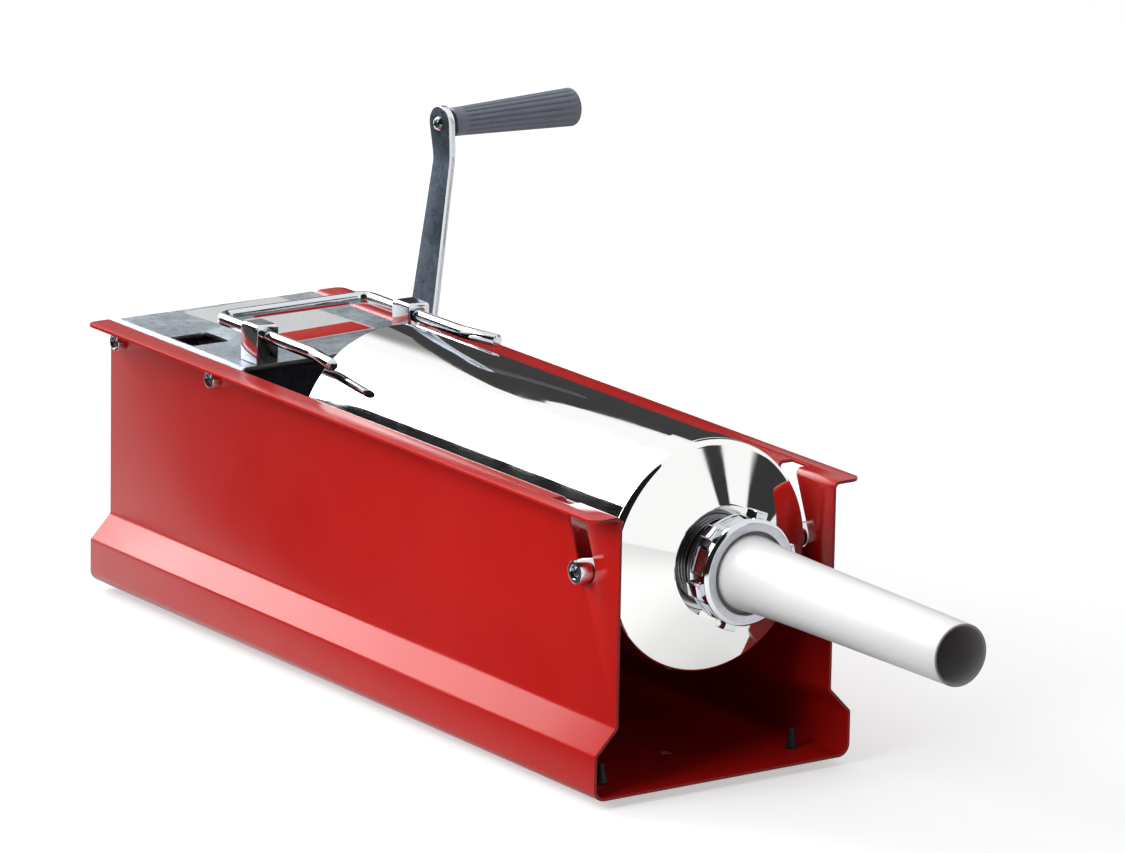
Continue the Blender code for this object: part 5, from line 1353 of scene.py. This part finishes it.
tree.links.new(both.outputs[0], carpet.inputs[1])
tree.links.new(dim.outputs[0], carpet.inputs[2])
tree.links.new(carpet.outputs[0], output.inputs["Surface"])
floor.data.materials.append(floor_material)

# %% World
SKY_IN_MIRRORS = 1.08
STRIP_DEPTH = 1.04
HAZE_DEPTH = 0.8
world = bpy.data.worlds.new("studio")
bpy.context.scene.world = world
world.use_nodes = True
tree = world.node_tree
tree.nodes.clear()
output = add_node(tree, "ShaderNodeOutputWorld")
direction = add_node(tree, "ShaderNodeTexCoord").outputs["Generated"]
parts = add_node(tree, "ShaderNodeSeparateXYZ")
tree.links.new(direction, parts.inputs[0])
bearing = maths(tree, "ARCTAN2", parts.outputs["X"], parts.outputs["Y"])


def sector(start, end, soft, top, top_soft):
    """1 between two bearings in degrees (0 is the rear, 90 the crank's side), below top."""
    rise = add_node(tree, "ShaderNodeMapRange", interpolation_type="SMOOTHSTEP")
    rise.inputs["From Min"].default_value = math.radians(start - soft)
    rise.inputs["From Max"].default_value = math.radians(start + soft)
    fall = add_node(tree, "ShaderNodeMapRange", interpolation_type="SMOOTHSTEP")
    fall.inputs["From Min"].default_value = math.radians(end + soft)
    fall.inputs["From Max"].default_value = math.radians(end - soft)
    cap = add_node(tree, "ShaderNodeMapRange", interpolation_type="SMOOTHSTEP")
    cap.inputs["From Min"].default_value = top + top_soft
    cap.inputs["From Max"].default_value = top - top_soft
    tree.links.new(bearing, rise.inputs["Value"])
    tree.links.new(bearing, fall.inputs["Value"])
    tree.links.new(parts.outputs["Z"], cap.inputs["Value"])
    both_sides = maths(tree, "MULTIPLY", rise.outputs[0], fall.outputs[0])
    return maths(tree, "MULTIPLY", both_sides, cap.outputs[0])


wide_strip = sector(start=104, end=123, soft=1.0, top=0.24, top_soft=0.03)
tall_strip = sector(start=137, end=147, soft=1.0, top=0.62, top_soft=0.05)
haze = sector(start=22, end=56, soft=3.0, top=0.36, top_soft=0.08)
dark = maths(tree, "MAXIMUM", wide_strip, tall_strip)
mirrored = maths(tree, "MULTIPLY_ADD", dark, -STRIP_DEPTH, SKY_IN_MIRRORS)
mirrored = maths(tree, "MULTIPLY_ADD", haze, -HAZE_DEPTH, mirrored)
from_rear = maths(tree, "MULTIPLY_ADD", parts.outputs["Y"], 1.6, 0.85, clamp=True)
from_above = maths(tree, "MULTIPLY_ADD", parts.outputs["Z"], 0.55, 0.3)
spread_light = maths(tree, "MULTIPLY_ADD", from_rear, from_above, 0.03)
paths = add_node(tree, "ShaderNodeLightPath")
camera = paths.outputs["Is Camera Ray"]
diffuse = maths(tree, "MINIMUM", paths.outputs["Diffuse Depth"], 1.0)
spread_light = maths(tree, "MULTIPLY", spread_light, diffuse)
mirrored = maths(tree, "MULTIPLY", mirrored, maths(tree, "SUBTRACT", 1.0, diffuse))
level = maths(tree, "MAXIMUM", maths(tree, "ADD", spread_light, mirrored), camera)
sky = add_node(tree, "ShaderNodeBackground")
sky.inputs["Color"].default_value = (1, 1, 1, 1)
tree.links.new(level, sky.inputs["Strength"])
tree.links.new(sky.outputs[0], output.inputs["Surface"])


# %% Lamps
def softbox(name, position, aim, size, power):
    """A soft lamp that reflections don't show."""
    light = bpy.data.lights.new(name, "AREA")
    light.shape = "RECTANGLE"
    light.size, light.size_y = size
    light.energy = power
    lamp = bpy.data.objects.new(name, light)
    bpy.context.scene.collection.objects.link(lamp)
    lamp.location = CENTRE + Vector(position)
    lamp.rotation_euler = (Vector(aim) - Vector(position)).to_track_quat("-Z", "Y").to_euler()
    lamp.visible_glossy = False


REAR_LEFT = Vector((-0.92, 2.67, 1.9))
MACHINE = Vector((0, 0, 0.1))
softbox("rear_left_softbox", REAR_LEFT, MACHINE, (2.4, 1.4), 52)
softbox("left_softbox", (-0.75, -0.3, 0.5), (0, -0.15, 0.1), (0.5, 0.5), 4.6)

# %% [markdown]
# Cards round the set are seen only in reflections. A black card close by on the right
# draws the dark stripe along the cylinder: its upper edge climbs to the rear, as the
# stripe's lower edge does in the mirror. Black cards on the left draw the line on the
# cap's shoulder and the one along the flange. A white card high behind lights the step.


# %% Cards
CARD_THICK = 4 * MM
ON_RIGHT = at(0.4, 0, 0, TO_RIGHT)
ON_LEFT = at(-0.9, 0, 0, TO_RIGHT)


def card(name, outline, where, brightness):
    """A card that only reflections see, glowing or black."""
    piece = plate(name, outline, CARD_THICK, Matrix.Translation(CENTRE) @ where)
    material = bpy.data.materials.new(name)
    material.use_nodes = True
    tree = material.node_tree
    tree.nodes.clear()
    light = add_node(tree, "ShaderNodeEmission")
    light.inputs["Strength"].default_value = brightness
    output = add_node(tree, "ShaderNodeOutputMaterial")
    tree.links.new(light.outputs[0], output.inputs["Surface"])
    piece.data.materials.append(material)
    piece.visible_camera = False
    piece.visible_diffuse = False
    piece.visible_shadow = False


card("stripe_card", [(0.18, 0), (0.74, 0), (0.74, 0.37), (0.86, 0.53), (1.2, 0.9),
                     (1.2, 0.96), (0.99, 0.835), (0.88, 0.745), (0.75, 0.665), (0.66, 0.62),
                     (0.53, 0.56), (0.18, 0.46)], ON_RIGHT, 0.05)
card("shoulder_card", [(-3.5, 0), (0.62, 0), (0.62, 6), (-3.5, 6)], ON_LEFT, 0.01)
card("flange_card", [(0.85, 0), (2.2, 0), (2.2, 0.88), (0.85, 0.88)], ON_LEFT, 0.01)
facing = (MACHINE - REAR_LEFT).to_track_quat("-Z", "Y").to_matrix().to_4x4()
card("step_card", [(-1.7, -1.2), (1.7, -1.2), (1.7, 1.2), (-1.7, 1.2)],
     Matrix.Translation(REAR_LEFT) @ facing, 6.5)

# %% [markdown]
# ## Camera
# The photograph was taken from a distance with a long lens. Its direction, roll and
# focal length were solved from the straight edges and circles of the machine; one known
# point and the pixel that it falls on fix the position.

# %% Camera
WIDTH_PX, HEIGHT_PX = 1125, 853
SENSOR_MM = 36
azimuth = math.radians(-34.893)
elevation = math.radians(14.445)
roll = math.radians(1.016)
focal_px = 7988.49
target = CENTRE + Vector((0, -0.035, 0.080))
target_px = Vector((489.875, 554.776))
distance = 4.945434
back = Vector((math.sin(azimuth) * math.cos(elevation),
               -math.cos(azimuth) * math.cos(elevation), math.sin(elevation)))
forward = -back
right = forward.cross(Vector((0, 0, 1))).normalized()
up = right.cross(forward)
rolled_right = right * math.cos(roll) + up * math.sin(roll)
rolled_up = up * math.cos(roll) - right * math.sin(roll)
offset = (target_px - Vector((WIDTH_PX / 2, HEIGHT_PX / 2))) / focal_px * distance
position = target - rolled_right * offset.x + rolled_up * offset.y - forward * distance
camera_data = bpy.data.cameras.new("camera")
camera_data.sensor_width = SENSOR_MM
camera_data.lens = focal_px / WIDTH_PX * SENSOR_MM
camera_data.clip_start = 0.1
camera_data.clip_end = 50
camera = bpy.data.objects.new("camera", camera_data)
bpy.context.scene.collection.objects.link(camera)
turn = Matrix((rolled_right, rolled_up, back)).transposed()
camera.matrix_world = Matrix.Translation(position) @ turn.to_4x4()
bpy.context.scene.camera = camera
bpy.context.scene.view_settings.view_transform = "Standard"
print("camera at", [round(c, 3) for c in position])
